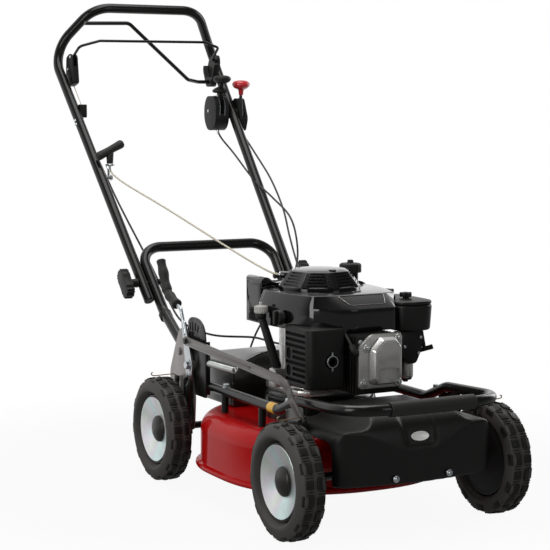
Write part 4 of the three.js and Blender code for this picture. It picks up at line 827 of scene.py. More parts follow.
def treadBlock(name, x0, x1, length, top, foot, corner, slope=0.0, dish=0.0):  # at the top of the tyre
    z0, z1 = wheel["axleZ"] + foot, wheel["axleZ"] + top
    low, high = wheel["outX"] - x1, wheel["outX"] - x0
    piece = block(name, low, high, -length / 2, length / 2, z0, z1)
    pickFaces(piece, lambda centre, normal: normal.z > 0.9)
    scaleFaces((0.93, 0.9, 1), spot((low + high) / 2, 0, z1))
    if slope:  # the outer end falls away into the sidewall
        edge = spot(low, 0, z1).x
        pickVerts(piece, lambda point: point.z > spot(0, 0, z1 - 1).z and point.x < edge + mm(3))
        bpy.ops.transform.translate(value=(0, 0, mm(-slope)))
    editDone()
    roundEdges(piece, corner, 3, 30)
    if dish:  # the block's face is sunk inside a raised border
        pickFaces(piece, lambda centre, normal: normal.z > 0.8 and centre.z > z1 - mm(8)
                  and normal.x ** 2 < 0.2)
        insetFaces(2.2)
        insetFaces(0.7, -dish)
        editDone()
    return piece


def makeTyre():
    top, crown = wheel["radius"], wheel["crown"]
    profile = wheel["inside"] + crown + [(115.4, 0)]
    profile += [(radius, -height) for radius, height in list(reversed(crown)) + wheel["outside"]]
    carcass = turned("tyre", "x", wheelMiddle, profile, 96, hollow=True, angle=50)
    thin, apart = wheel["ribs"]
    step = 360 / wheel["pitches"]
    wide = treadBlock("wide", 3, wheel["halfWidth"] - 0.2, wheel["wideBlock"], top - 0.25, 100, 1.6, 7.5,
                      1.8)
    narrow = treadBlock("narrow", 3.8, 21.5, wheel["narrowBlock"], top - 1.2, 106, 1.4, 1.0, 1.4)
    module = [wide, turnOnce(narrow, wheelMiddle, step / 2)]
    for at in (0.25, 0.75):
        for side in (-1, 1):
            rib = treadBlock("rib", 4.5, 21.5, thin, top - 2.4, 112, 0.35)
            nub = treadBlock("nub", 11 + side * 3, 13.5 + side * 3, thin + 1.6, top - 2.0, 112, 0.4)
            module.append(
                turnOnce(joinPieces("rib", [rib, nub]), wheelMiddle, step * at + side * apart * 0.55))
    row = joinPieces("row", module)
    others = [turnCopy(row, "row", wheelMiddle, "X", step * i) for i in range(1, wheel["pitches"])]
    outer = joinPieces("outerRow", [row] + others)
    inner = turnOnce(turnCopy(outer, "innerRow", wheelMiddle, "Z", 180), wheelMiddle, step * 0.5)
    tread = joinPieces("tread", [outer, inner])
    smoothShade(tread, 40)
    return carcass, tread


def turnWheelOut(piece):  # outer side to the operator's right
    turnOnce(piece, wheelMiddle, 180, "Z")


def makeRimBody():  # moulded wheel centre with its hub, ribs and tyre seat
    body = turned("rimBody", "x", wheelMiddle, wheel["body"], 96, hollow=True, angle=40)
    x, z = wheel["outX"], wheel["axleZ"]
    ribs = [turnOnce(block("rib", x + 8, x + 15, 23, 71, z - 1.6, z + 1.6), wheelMiddle, 45 * i)
            for i in range(8)]
    turnWheelOut(body)
    whole = joinPieces("rimBody", [body] + ribs)
    smoothShade(whole, 40)
    return whole


def makeDisc():  # satin zinc disc pressed to a shallow cone
    disc = turned("rimDisc", "x", wheelMiddle, wheel["disc"], 96, hollow=True, angle=40)
    turnWheelOut(disc)
    return disc


def makeShield():  # plain dust shield over the inner side of the wheel
    return turned("wheelShield", "x", wheelMiddle, wheel["shield"], 72, hollow=True, angle=40)


def makeCap():
    cap = turned("wheelCap", "x", wheelMiddle, wheel["cap"], 64, angle=50)
    turnWheelOut(cap)
    return cap


def hubAttribute(piece, corner):  # each point's place from the wheel's own middle, for turned finishes
    low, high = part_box("rim_" + corner)
    attribute = piece.data.attributes.new("hubPlace", "FLOAT_VECTOR", "POINT")
    for i, vert in enumerate(piece.data.vertices):
        attribute.data[i].vector = vert.co - (low + high) / 2


def makeWheels():
    tyre, tread = makeTyre()
    body, disc, cap, shield = makeRimBody(), makeDisc(), makeCap(), makeShield()
    forms = [  # form, CAD form it goes with, finish, and its slot where it only adds to that form
        (tyre, "tyre_", "rubber", None), (body, "rim_", "capBlack", None),
        (tread, "tyre_", "treadRubber", "tyre_rubber"), (shield, "rim_", "mouldBlack", "black_moulding"),
        (disc, "rim_", "zincDisc", "zinc"), (cap, "rim_", "capBlack", "black_moulding")]
    names = [form.name for form, *_ in forms]
    for form, *_ in forms:
        form.name = "made_" + form.name
    for end, y in (("front", 0), ("rear", wheel["rearY"])):
        for side in ("right", "left"):
            corner = end + "_" + side
            for name, (form, node, finish, slot) in zip(names, forms):
                twin = shiftCopy(form, name + "_" + corner, 0, y, 0)
                if side == "left":
                    raw = twin
                    twin = mirrored(raw, raw.name + "_left")
                    bpy.data.objects.remove(raw)
                hubAttribute(twin, corner)
                if slot:
                    addTo(twin, node + corner, finish)
                else:
                    standIn(twin, node + corner, finish)
    for form, *_ in forms:
        bpy.data.objects.remove(form)


makeWheels()
print("wheels made")


down = (-0.0407, -0.6746, -0.7371)  # along the left-hand upper tube from its bend
bend = (233.4, 1329.1, 999.9)


def alongHandle(reach, inset=0):
    return bend[0] + down[0] * reach - inset, bend[1] + down[1] * reach, bend[2] + down[2] * reach


def bothHands(half):
    return half + [(-corner[0], *corner[1:]) for corner in reversed(half)]


tubing = {
    "upper_handle": {"radius": 12.5, "line": bothHands([
        alongHandle(820), (*alongHandle(0), 80), (149.4, 1241.6, 1114, 80)])},
    "lower_handle": {"radius": 12.5, "line": bothHands([
        (181.8, 606, 296), (*alongHandle(851, 26.2), 45), (*alongHandle(660, 26.2), 55)])},
    "brake_bail": {"radius": 3.5, "line": [
        (-206, 1253, 984), (-206, 1200, 1012, 12), (-150, 1200, 1027, 14), (150, 1200, 1029, 14),
        (197, 1212, 1016, 10), (197, 1253, 984, 5), (210, 1253, 984)]},
    "drive_lever": {"radius": 5, "line": [
        (-185, 1215, 1072), (-62, 1215, 1075, 25), (124, 1250, 930, 18), (168, 1284, 925, 12),
        (211, 1284, 925)]},
}


def plugEnds(line, radius):  # rounded plastic plugs in the open ends of a tube
    plugs = []
    for end, before in ((line[0], line[1]), (line[-1], line[-2])):
        out = (spot(*end[:3]) - spot(*before[:3])).normalized()
        stub = bar("plug", spot(*end[:3]) - out * mm(4), spot(*end[:3]) + out * mm(1.6), radius - 1.4)
        roundEdges(stub, 1.2, 3)
        plugs.append(stub)
    return plugs


def makeTubing():
    for node, look in tubing.items():
        piece = sweptTube(node + "_tube", bentPath(look["line"], 16), look["radius"], 12, 50)
        if node.endswith("_handle"):
            piece = joinPieces(piece.name, [piece] + plugEnds(look["line"], look["radius"]))
        standIn(piece, node, "tubeBlack")


makeTubing()
print("tubes swept")

cables = {
    "brake_cable": [
        (-204, 1190, 828.6), (-204, 1190, 816), (-203, 1182, 796), (-196, 1100, 720), (-186, 1000, 620),
        (-156, 880, 480), (-148, 790, 400), (-148, 700, 350), (-120, 600, 330), (-60, 500, 332),
        (-52, 440, 330),
        (-50, 392, 330)],
    "throttle_cable": [
        (249, 1172, 794.5), (249, 1164, 782), (250, 1105, 738), (251, 1008, 666), (247, 933, 592),
        (237, 882, 530),
        (226, 830, 478), (194, 730, 428), (150, 600, 376), (126, 480, 348), (128, 380, 345),
        (132, 250, 345),
        (126, 166.5, 345)],
    "drive_cable": [
        (188, 1200, 791.5), (190, 1182, 774), (196, 1122, 736), (206, 1018, 666), (214, 930, 624),
        (222, 852, 580),
        (220, 816, 536), (204, 780, 470), (140, 730, 400), (60, 712, 320), (24, 706, 240), (16, 702, 186),
        (16, 698, 158), (16, 689, 138), (16, 669, 130)],
}
rope = {
    "line": [(-66, 366, 489), (-76, 384, 492), (-150, 800, 617), (-185, 1000, 678), (-188, 1043, 697),
             (-188, 1046, 711)],
    "pulledOut": (708, 720),  # the heights between which it draws out, from the guide to the grip
    "radius": 2.2,
}


def bendingRun(name, route, radius, finish):  # a swept run with its finish, its place baked into its mesh; it is attached to no body
    run = sweptTube(name, route, radius, 6, 60)
    coat(run, finish)
    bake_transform(run)
    return run


def freeRun(node, points, radius, finish, perSpan):  # a smooth run through the points, standing for a CAD form that is hidden
    route = smoothRoute(points, perSpan)
    run = bendingRun(node + "_run", route, radius, finish)
    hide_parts(node)


def makeCables():
    for node, points in cables.items():
        freeRun(node, points, 2.5, "cableBlack", 12)
    freeRun("starter_rope", rope["line"], rope["radius"], "rope", 16)
    low, high = (spot(*rope["line"][-1][:2], z) for z in rope["pulledOut"])
    route = [low.lerp(high, k / 8) for k in range(9)]
    bendingRun("starter_rope_tail", route, rope["radius"], "rope")


makeCables()
print("cables and rope run")


def intersectForms(piece, *forms):
    return combine(piece, forms, "INTERSECT")


def hollowOut(shell, wall, openings):  # an even wall, opened towards each of the given shifts
    core = copyOf(shell, "core")
    addModifier(core, "DISPLACE", strength=-mm(wall), mid_level=0.0, direction="NORMAL")
    for i, shift in enumerate(openings):
        combine(shell, [shiftCopy(core, "opened" + str(i), *shift)], "DIFFERENCE", solver="MANIFOLD")
    bpy.data.objects.remove(core)


cover = {
    "half": 184.7, "face": -118, "low": 114, "crown": 252, "crownHalf": 98, "shoulder": 226, "back": 98,
    "wall": 3,
    "recessHalf": 38, "recessLow": 188, "recessDepth": 4.5, "voxel": 2.3, "softening": 30,
    "badge": (0, 206, 20, 9.5), "bolts": ((-62.5, 128), (62.5, 128)),
}


def coverForm(name, inset):
    half, crown = cover["half"] - inset, cover["crownHalf"] - inset
    face, top = cover["face"] + inset, cover["crown"] - inset
    shoulder = cover["shoulder"] - inset
    low = cover["low"] - 20 if inset else cover["low"]
    back = cover["back"] + 20 if inset else cover["back"]
    across = slab(name, "y", roundedLine([
        (-half, low, 0), (half, low, 0), (half, shoulder, 34), (crown + 16, shoulder, 24),
        (crown, top, 20),
        (-crown, top, 20), (-crown - 16, shoulder, 24), (-half, shoulder, 34)], 8), face - 20, back)
    along = slab("along", "x", roundedLine([
        (face + 4, low, 0), (face, low + 24, 30), (face + 8, cover["shoulder"] - 20 - inset, 60),
        (face + 34, top, 40), (back, top + 10, 0), (back, low, 0)], 12), -half - 5, half + 5)
    plan = slab("plan", "z", roundedLine([
        (-half, back, 0), (-half, face + 26, 30), (0, face - 4, 300), (half, face + 26, 30),
        (half, back, 0)], 24),
        low - 5, top + 20)
    return intersectForms(across, along, plan)


def makeFrontCover():
    outer = coverForm("frontCover", 0)
    behind = shiftCopy(outer, "behind", 0, cover["recessDepth"], -1)
    panel = slab("panel", "y", roundedLine([
        (-cover["recessHalf"] + 4, cover["recessLow"], 8),
        (cover["recessHalf"] - 4, cover["recessLow"], 8),
        (cover["recessHalf"] + 8, 300, 0), (-cover["recessHalf"] - 8, 300, 0)], 6), -160, 0)
    cutWith(panel, behind)
    cutWith(outer, panel)
    melted(outer, cover["voxel"], cover["softening"])
    half = cover["half"]
    arches = []
    for hand in (-1, 1):
        edge = sorted((hand * (half - 32), hand * (half + 8)))
        arches.append(slab("arch", "x", roundedLine([
            (-72, 90, 0), (-72, 203, 26), (cover["back"] + 8, 203, 0), (cover["back"] + 8, 90, 0)], 8),
            *edge))
    deckWay = block("deckWay", -half - 5, half + 5, 30, 140, 60, 196)
    hollowOut(outer, cover["wall"], [(0, 0, -9), (0, 9, 0)])
    cutWith(outer, *arches, deckWay)
    standIn(outer, "front_cover", "coverBlack", shade=42)

    x, z, halfLong, halfHigh = cover["badge"]
    ring = [(x + halfLong * math.cos(a), z + halfHigh * math.sin(a))
            for a in [math.pi * k / 24 for k in range(48)]]
    plate = slab("badgeRim", "y", ring, -105.4, -99)
    pickFaces(plate, lambda centre, normal: normal.y < -0.9)
    insetFaces(1.1)
    insetFaces(0.5, -0.6)
    editDone()
    roundEdges(plate, 0.35)
    turnOnce(plate, spot(x, -103, z), -17.8)  # leans back with the cover's face
    addTo(plate, "front_cover", "badgePlate", shade=40)
    for i, (x, z) in enumerate(cover["bolts"]):
        bolt = flangeBolt("coverBolt" + str(i), spot(x, -116.6, z), "y", 7.2)
        addTo(bolt, "front_cover", "zinc")


def flangeBolt(name, place3d, axis, radius):  # cross-headed screw on a round flange, facing the front
    head = turned(name, axis, origin, [
        (radius, -1.5), (radius, 0), (radius - 0.5, 0.7), (radius * 0.66, 1.2), (radius * 0.62, 3.0),
        (radius * 0.5, 4.0), (radius * 0.2, 4.3)], 36)
    cutWith(head, *[crossSlot(radius, degrees, axis) for degrees in (25, 115)])
    turnAndMove(head, "X", place3d)
    smoothShade(head, 35)
    return head


def crossSlot(radius, degrees, axis):
    slot = cube("slot", (0, 0, mm(3.9)), (radius * 0.85, 1.1, 2.2))
    for turn in ((0, 0, math.radians(degrees)), axisTurns[axis]):
        slot.rotation_euler = turn
        applyPlace(slot)
    return slot


makeFrontCover()
print("front cover made")

rearCover = {"half": 140, "front": 452, "back": 690, "top": 306, "crownHalf": 60, "base": 184.3,
             "wall": 3}


def rearForm(name, inset):
    half, top, front = rearCover["half"] - inset, rearCover["top"] - inset, rearCover["front"] + inset
    low = 144 if inset else rearCover["base"]
    crown = rearCover["crownHalf"]
    across = slab(name, "y", roundedLine([
        (-half, low, 0), (half, low, 0), (half, top - 30, 16), (crown, top, 20), (-crown, top, 20),
        (-half, top - 30, 16)], 8), front, rearCover["back"] + 20)
    backFoot = rearCover["back"] - inset + (184 - low) * 0.4
    along = slab("along", "x", roundedLine([
        (front - 1, low, 0), (front + 6, top + 12, 10), (rearCover["back"] - 40 - inset, top - 22, 30),
        (backFoot, low, 0)], 10), -half - 1, half + 1)
    return intersectForms(across, along)


def makeRearCover():
    outer = rearForm("rearCover", 0)
    melted(outer, 2.6, 8)
    hollowOut(outer, rearCover["wall"], [(0, 0, -9)])
    cutWith(outer, block("beltWay", -52, 52, 300, 472, 196, 220))
    standIn(outer, "rear_cover", "satinTop", shade=42)


makeRearCover()
print("rear cover made")

deck = {"centreY": 300.7, "stretch": 39, "wall": 236, "lip": 247, "lipZ": 62, "top": 184, "shoulder": 40,
        "sheet": 2.5, "power": 2 / 2.4}


def deckProfile():
    wall, lip, lipZ, top, sheet, bendR = (
        deck[k] for k in ("wall", "lip", "lipZ", "top", "sheet", "shoulder"))
    corner = [math.radians(a) for a in range(0, 91, 9)]
    outside = [(wall, lipZ + 16), (wall, top - bendR)]
    outside += [(wall - bendR * (1 - math.cos(a)), top - bendR * (1 - math.sin(a))) for a in corner[1:]]
    inside = [(r - sheet if z < top - 2 else r, z - (sheet if z > top - bendR - 1 else 0)) for r,
              z in outside]
    roll = [(wall - sheet, lipZ), (lip - 4.4, lipZ), (lip - 1.6, lipZ + 1.4), (lip, lipZ + 4.6),
            (lip, lipZ + 7.4),
            (lip - 1.6, lipZ + 10.4), (lip - 4.4, lipZ + 11.8), (wall + 3.2, lipZ + 12.2),
            (wall + 0.8, lipZ + 13.4)]
    middle = [(r, top) for r in (170, 120, 80)]
    return roll + outside + middle + [(r, z - sheet) for r,
                                      z in reversed(middle)] + list(reversed(inside[1:]))


def makeDeck():
    middle = spot(0, deck["centreY"], 0)
    shell = turned("deckShell", "z", middle, deckProfile(), 144, hollow=True, angle=30)
    for vert in shell.data.vertices:  # squared off, and drawn out towards the back
        x, y = vert.co.x - middle.x, vert.co.y - middle.y
        reach = math.hypot(x, y)
        if reach < mm(100):
            continue
        squared = [math.copysign(abs(share / reach) ** deck["power"], share) * reach for share in (x, y)]
        vert.co.x = middle.x + squared[0]
        rear = min(1, max(0, squared[1] / mm(40)))
        vert.co.y = middle.y + squared[1] + mm(deck["stretch"]) * rear
    notches = []
    for hand in (-1, 1):
        low, high = sorted((hand * 215, hand * 262))
        notches.append(block("notch", low, high, 470, 530, 54, 74))
    cutWith(shell, *notches)
    standIn(shell, "deck", "deckRed", shade=32)


makeDeck()
print("deck made")


def makeSleeve():
    sleeve = turned("bumperSleeve", "x", spot(0, -145, 274), [
        (11.6, -98), (14.2, -98), (15, -97.2), (15, 97.2), (14.2, 98), (11.6, 98)], 40, hollow=True,
        angle=40)
    standIn(sleeve, "bumper_sleeve", "softRubber")


def makePedestal():
    ring = turned("pedestal", "z", spot(0, 305, 184.3), [
        (122, 0), (121.5, 38), (120, 46), (117, 52), (112, 55.4), (106, 56), (92, 56), (92, 53),
        (108, 52),
        (113, 48), (115.5, 40), (119, 0)], 96, hollow=True, angle=40)
    cutWith(ring, block("beltWay", -52, 52, 305, 440, 196, 220))
    standIn(ring, "engine_pedestal", "tubeBlack", shade=40)


makeSleeve()
makePedestal()
print("sleeve and pedestal made")


engine = {
    "crankY": 305, "recoilBase": 463.3, "recoilRise": 44, "recoilRadius": 90, "recoilTop": 58,
    "facets": 8,
    "plainFacet": 0, "louvreRows": 5, "outlet": ((-40, 344, 488), (-64, 364.5, 489)),
}


def coneReach(z):  # radius of the recoil cover's side at a height above its base
    return engine["recoilRadius"] - 3 - (engine["recoilRadius"] - engine["recoilTop"] - 6) * (z - 8) / 34


def makeRecoil():
    base, rise, wide, top = (engine[k] for k in ("recoilBase", "recoilRise", "recoilRadius", "recoilTop"))
    middle = spot(0, engine["crankY"], base)
    steps = engine["facets"]
    corner = 1 / math.cos(math.pi / steps)  # the flats, not the corners, lie on the cone
    rim = turned("recoilRim", "z", middle, [
        (wide, 0), (wide, 4.4), (wide - 1.2, 6.4), (wide - 4, 7.6), (70, 8.6), (60, 8.6)], 96, angle=40)
    outline = [((coneReach(8) - 1) * corner, 5), ((coneReach(8) - 1) * corner, 7),
               ((coneReach(rise - 6) - 1) * corner, rise - 6), ((top - 4) * corner, rise - 3.2),
               ((top - 14) * corner, rise - 1.7), (26, rise - 0.5), (2, rise)]
    cone = turned("recoilCover", "z", middle, outline, steps, angle=20)
    turnOnce(cone, middle, 360 / steps * 0.8, "Z")
    roundEdges(cone, 5, 4, 12)
    cutters = []
    for i in range(steps):
        if i == engine["plainFacet"]:
            continue
        for row in range(engine["louvreRows"]):
            z = 10.6 + row * 6.1
            slot = cube("louvre", (mm(coneReach(z)), 0, mm(z)), (11, 47 - row * 3.6, 3.3))
            roundEdges(slot, 1.2)
            slot.rotation_euler = (0, 0, math.radians(360 * (i + 0.3) / steps))
            applyPlace(slot)
            cutters.append(moveTo(slot, middle))
    cutWith(cone, joinPieces("louvres", cutters))
    cap = joinPieces("recoilCover", [cone, rim])
    tab = slab("tab", "z", roundedLine([(-7, 248, 3), (9, 246, 3), (12, 262, 4), (-4, 264, 4)], 5),
               base + rise - 9,
               base + rise - 0.4)
    roundEdges(tab, 1.6, 3)
    inner, outer = (spot(*point) for point in engine["outlet"])
    boss = bar("outlet", inner, outer, 8)
    roundEdges(boss, 1.2, 3)
    outletRing = turned("outletRing", "x", origin, [
        (3.2, 0), (6.2, 0), (6.6, 1.2), (6.2, 2.4), (3.2, 2.4)], 32, hollow=True, angle=40)
    outletRing.rotation_euler = (outer - inner).to_track_quat("X", "Z").to_euler()
    moveTo(outletRing, outer)
    cap = joinPieces("recoilCover", [cap, tab, boss])
    standIn(cap, "recoil_cover", "glossBlack", shade=30)
    addTo(outletRing, "recoil_cover", "zinc")


def makeFanHousing():
    half = [(132, 230, 30), (140, 300, 40), (138, 334, 24), (100, 364, 20), (58, 388, 30)]
    plan = roundedLine([(75, 105, 14), (106, 151, 20), *half, (0, 398, 60),
                        *[(-x, y, r) for x, y, r in reversed(half)], (-110, 151, 42), (-50, 105, 34)], 10)
    housing = slab("fanHousing", "z", plan, 390, 436)
    pickFaces(housing, lambda centre, normal: normal.z > 0.9)
    drawFaces(0, 0, 27)
    scaleFaces((0.92, 1, 1), spot(0, 305, 463))
    editDone()
    for vert in housing.data.vertices:  # the front slopes back over the cylinder head
        if vert.co.z > spot(0, 0, 450).z:
            y = (vert.co.y - spot(0, 0, 0).y) * 1000
            if y < 200:
                vert.co.y = spot(0, max(y, 150 + (y - 105) * 0.1), 0).y
            elif y > 340:
                vert.co.y = spot(0, y - 4, 0).y
    turnOut(housing)
    roundEdges(housing, 5, 4, 24)
    standIn(housing, "fan_housing", "glossBlack", shade=30)
    frameLine = roundedLine([(-30, 118, 6), (54, 118, 6), (66, 147, 8), (-46, 147, 8)], 6)
    route = [spot(u, v, 436.6 + (v - 105) * 27 / 45) for u, v in frameLine]  # on the sloping front
    route.append(route[0])
    border = sweptTube("panelBorder", route, 0.9, 4, 60)
    addTo(border, "fan_housing", "flatSteel")


tank = {"left": -122, "right": 150, "front": 346, "depth": 98, "base": 383, "top": 468, "hump": 16}


def makeTank():
    left, right, front, base, top = (tank[k] for k in ("left", "right", "front", "base", "top"))
    back, crest = front + tank["depth"], top + tank["hump"]
    plan = roundedLine([(left, front, 18), (right, front, 18), (right, back, 40), (left, back, 40)], 10)
    body = slab("fuelTank", "z", plan, base, 500)
    across = slab("across", "y", roundedLine([
        (left - 1, base, 14), (160, base, 14), (160, 452, 14), (130, top, 10), (left + 54, top, 12),
        (left + 32, crest, 14),
        (left + 9, crest, 14), (left - 1, crest - 14, 14)], 8), front - 5, 460)
    intersectForms(body, across)
    neck = bar("neck", spot(118, 372, 458), spot(118, 372, 492), 18, 40)
    fuse(body, neck)
    fanWay = slab("fanWay", "z",
                  roundedLine([(-141.5, 200, 0), (-141.5, 333, 20), (-101, 366, 16), (-58, 390, 20),
                               (0, 400, 30), (58, 390, 20), (101, 366, 16), (141.5, 333, 20),
                               (141.5, 200, 0)], 6), 370, 530)
    cutWith(body, fanWay)
    roundEdges(body, 5, 4, 32)
    standIn(body, "fuel_tank", "glossBlack", shade=34)


def ridgedCap(name, centre, profile, ridges, depth, low, high, steps=6):
    piece = turned(name, "z", centre, profile, ridges * steps, angle=40)
    top = max(radius for radius, height in profile)
    for vert in piece.data.vertices:
        flat = Vector((vert.co.x - centre.x, vert.co.y - centre.y))
        z = (vert.co.z - centre.z) * 1000
        if flat.length > mm(top * 0.9) and low < z < high:
            wave = 0.5 + 0.5 * math.cos(ridges * math.atan2(flat.y, flat.x))
            flat = flat * (1 - depth * (wave ** 3) / top)
            vert.co.x, vert.co.y = centre.x + flat.x, centre.y + flat.y
    smoothShade(piece, 40)
    return piece


def makeCaps():
    fuel = ridgedCap("fuelCap", spot(118, 372, 0), [
        (19, 485), (24, 485), (25, 486), (25, 488), (25, 501), (24, 503.5), (21, 505.5), (9, 506.4),
        (7.5, 507),
        (6.5, 512), (5.5, 513), (1, 513)], 22, 1.1, 486.5, 502)
    standIn(fuel, "fuel_cap", "mouldBlack")
    oil = ridgedCap("oilCap", spot(-155, 283, 417.7), [
        (13.4, 0), (14, 0.6), (15, 3), (15, 4), (15, 12.6), (14.2, 14.6), (12, 16), (5.6, 17), (4.6, 18),
        (4.2, 23.2),
        (3.4, 24), (0.5, 24)], 18, 0.9, 3.4, 13)
    standIn(oil, "oil_cap", "darkGrey")


def makeFiller():
    foot = turned("oilFiller", "z", spot(-130, 257, 300), [(9, 0), (9, 6), (8, 8), (2, 8)], 40)
    stem = bar("stem", spot(-130, 257, 304), spot(-155, 283, 412), 10, 40, 8.2)
    collar = turned("collar", "z", spot(-155, 283, 405),
                    [(8, 0), (10.4, 1.5), (11.4, 3), (11.4, 11.4), (10.8, 12.3), (2, 12.4)], 40)
    piece = joinPieces("oilFiller", [foot, stem, collar])
    roundEdges(piece, 0.6)
    standIn(piece, "oil_filler_tube", "mouldBlack", shade=38)
    seat = turned("fillerSeat", "z", spot(-130, 257, 288),
                  [(14, 0), (14, 11), (12.6, 13), (9.6, 14), (2, 14)], 40)
    bolt = hexBolt("seatBolt", spot(-141, 246, 296), "z", 8, 5, 6)
    whole = joinPieces("fillerSeat", [seat, bolt])
    addTo(whole, "crankcase", "castAlloy", shade=38)


guard = {"x": (-137, -54), "y": (100, 222), "z": (275, 400), "rows": 9, "slotPitch": 12,
         "shortRows": (1, 2, 4, 5),
         "holeRows": (1, 4), "spout": (-86, 333)}


def makeGuard():
    (x0, x1), (y0, y1), (z0, z1) = guard["x"], guard["y"], guard["z"]
    shell = slab("mufflerGuard", "z",
                 roundedLine([(x0, y0, 26), (x1, y0, 5), (x1, y1, 5), (x0, y1, 22)], 10), z0, z1)
    roundEdges(shell, 8, 5, 60)
    inner = slab(
        "inner", "z", roundedLine([(x0 + 2, y0 + 2, 24), (x1 + 8, y0 + 2, 4), (x1 + 8, y1 - 2, 4),
                                   (x0 + 2, y1 - 2, 20)], 8), z0 + 2, z1 - 2)
    slots = []
    for row in range(guard["rows"]):
        z = z0 + 14 + row * guard["slotPitch"]
        far = y1 - (50 if row in guard["shortRows"] else 20)
        slots.append(slab("slot", "x", strapLine((y0 + 24, z, 3.5), (far, z, 3.5), 8), x0 - 4, x0 + 6))
        if row in guard["holeRows"]:
            middle = z + guard["slotPitch"] / 2
            slots.append(
                slab("hole", "x", strapLine((y1 - 30, middle - 3, 9), (y1 - 30, middle + 3, 9), 12),
                              x0 - 4, x0 + 6))
    cutWith(shell, inner)
    combine(shell, [joinPieces("slots", slots)], "DIFFERENCE", use_self=True)
    x, z = guard["spout"]
    cutWith(shell, bar("spoutWay", spot(x, y0 - 5, z), spot(x, y0 + 6, z), 15.2, 40))
    standIn(shell, "muffler_guard", "heatBlack", shade=34)
    ring = turned("spoutRing", "y", spot(x, y0 - 5.6, z), [
        (10.4, 6), (10.4, 0.6), (11.0, 0), (12.6, 0), (13.2, 0.6), (13.2, 6)], 40, hollow=True, angle=40)
    ears = [
        slab("ear", "y", strapLine((x, z + side * 12, 2.0), (x, z + side * 18.5, 1.5), 8), y0 - 4, y0 - 2)
            for side in (-1, 1)]
    addTo(joinPieces("spoutRing", [ring, *ears]), "muffler", "zinc")


def makeCleaner():
    x0, x1, y0, y1, low, top = 80, 174, 95, 265, 383, 446
    shell = slab("airCleaner", "z",
                 roundedLine([(x0, y0, 34), (x1, y0, 46), (x1, y1, 46), (x0, y1, 34)], 14),
                 low, top - 8)
    pickFaces(shell, lambda centre, normal: normal.z < -0.9)
    scaleFaces((0.93, 0.96, 1), spot((x0 + x1) / 2, (y0 + y1) / 2, low))
    editDone()
    roundEdges(shell, 5, 4)
    lid = slab("lid", "z", roundedLine([(x0 + 1, y0 + 1, 33), (x1 - 1, y0 + 1, 45), (x1 - 1, y1 - 1, 45),
                                        (x0 + 1, y1 - 1, 33)], 14), top - 7.4, top)
    roundEdges(lid, 2.6, 3)
    knobX = 128
    pads = [turned("pad", "z", spot(knobX, y, top - 0.5), [(15, 0), (14.4, 1.6), (10, 2.2), (2, 2.2)], 40)
            for y in (154, 226)]
    whole = joinPieces("airCleaner", [shell, lid, *pads])
    knobs = []
    for y in (154, 226):
        star = [
            ((11.6 + 2.4 * math.cos(5 * a)) * math.cos(a) + knobX,
             (11.6 + 2.4 * math.cos(5 * a)) * math.sin(a) + y)
                for a in [math.pi * k / 30 for k in range(60)]]
        knob = slab("knob", "z", star, top + 4.4, top + 14.6)
        roundEdges(knob, 1.8, 3, 50)
        stem = bar("stem", spot(knobX, y, top), spot(knobX, y, top + 5), 7, 32)
        boss = bar("boss", spot(knobX, y, top + 14), spot(knobX, y, top + 15), 4.5, 24)
        knobs += [knob, stem, boss]
    knobs = joinPieces("cleanerKnobs", knobs)
    smoothShade(knobs, 34)
    standIn(whole, "air_cleaner", "coverBlack", shade=34)
    addTo(knobs, "air_cleaner", "mouldBlack")


def makeValveCover():
    low, high, front = 276, 389, 63.7
    flange = slab("valveCover", "y", roundedLine([
        (-41, low, 9), (62, low, 9), (62, high, 9), (-14, high, 9), (-41, high - 24, 9)], 8), front, 71.7)
    roundEdges(flange, 1.4, 3)
    panel = slab("panel", "y", roundedLine([
        (-12, low + 8, 4), (40, low + 8, 4), (55, low + 23, 4), (55, high - 23, 4), (41, high - 6, 4),
        (4, high - 6, 4),
        (-19, high - 30, 4), (-19, low + 17, 4)], 5), front - 6, front + 2)
    pickFaces(panel, lambda centre, normal: normal.y < -0.9)
    drawFaces(0, -13.4, 0)
    scaleFaces((0.82, 1, 0.86), spot(19, front - 19.4, (low + high) / 2))
    insetFaces(3)
    editDone()
    lower = slab("lower", "y", roundedLine([(-6, 287, 5), (44, 287, 5), (44, 318, 5), (-6, 318, 5)], 6),
                 36, 49.5)
    roundEdges(panel, 2.6, 4, 18)
    cutWith(panel, lower)
    roundEdges(panel, 0.8, 2, 35)
    lugs, bolts = [], []
    for x, z in ((-31, low + 12), (52, low + 10), (52, high - 10), (-24, high - 28)):
        lug = bar("lug", spot(x, front + 1, z), spot(x, front - 3.4, z), 8.6, 36)
        roundEdges(lug, 1.2, 3)
        lugs.append(lug)
        bolts.append(hexBolt("coverScrew", spot(x, front - 3, z), "y", 8, 4.6))
    for bolt in bolts:
        centre = sum((v.co for v in bolt.data.vertices), Vector()) / len(bolt.data.vertices)
        turnOnce(bolt, Vector((centre.x, spot(0, front - 3, 0).y, centre.z)), 180, "X")
    whole = joinPieces("valveCover", [flange, panel, *lugs])
    standIn(whole, "valve_cover", "castAlloy", shade=30)
    screws = joinPieces("coverScrews", bolts)
    addTo(screws, "valve_cover", "zinc")


def makeSparkPlug():  # rubber boot on the plug, with its lead going up under the fan housing
    boot = sweptTube("plugBoot",
                     smoothRoute([(-30, 76, 350), (-41, 72, 351), (-48, 74, 357), (-50, 80, 366)], 8), 7,
                     8, 60)
    lead = sweptTube("plugLead", smoothRoute([(-50, 79, 364), (-51, 90, 376), (-52, 112, 394)], 8), 3.2,
                     8, 60)
    whole = joinPieces("plugLead", [boot, lead])
    addTo(whole, "cylinder", "softRubber")
    bolt = turnAndMove(hexBolt("headBolt", origin, "y", 10, 7, 7.4), "X", spot(-34, 76.5, 373))
    addTo(bolt, "cylinder", "zinc")


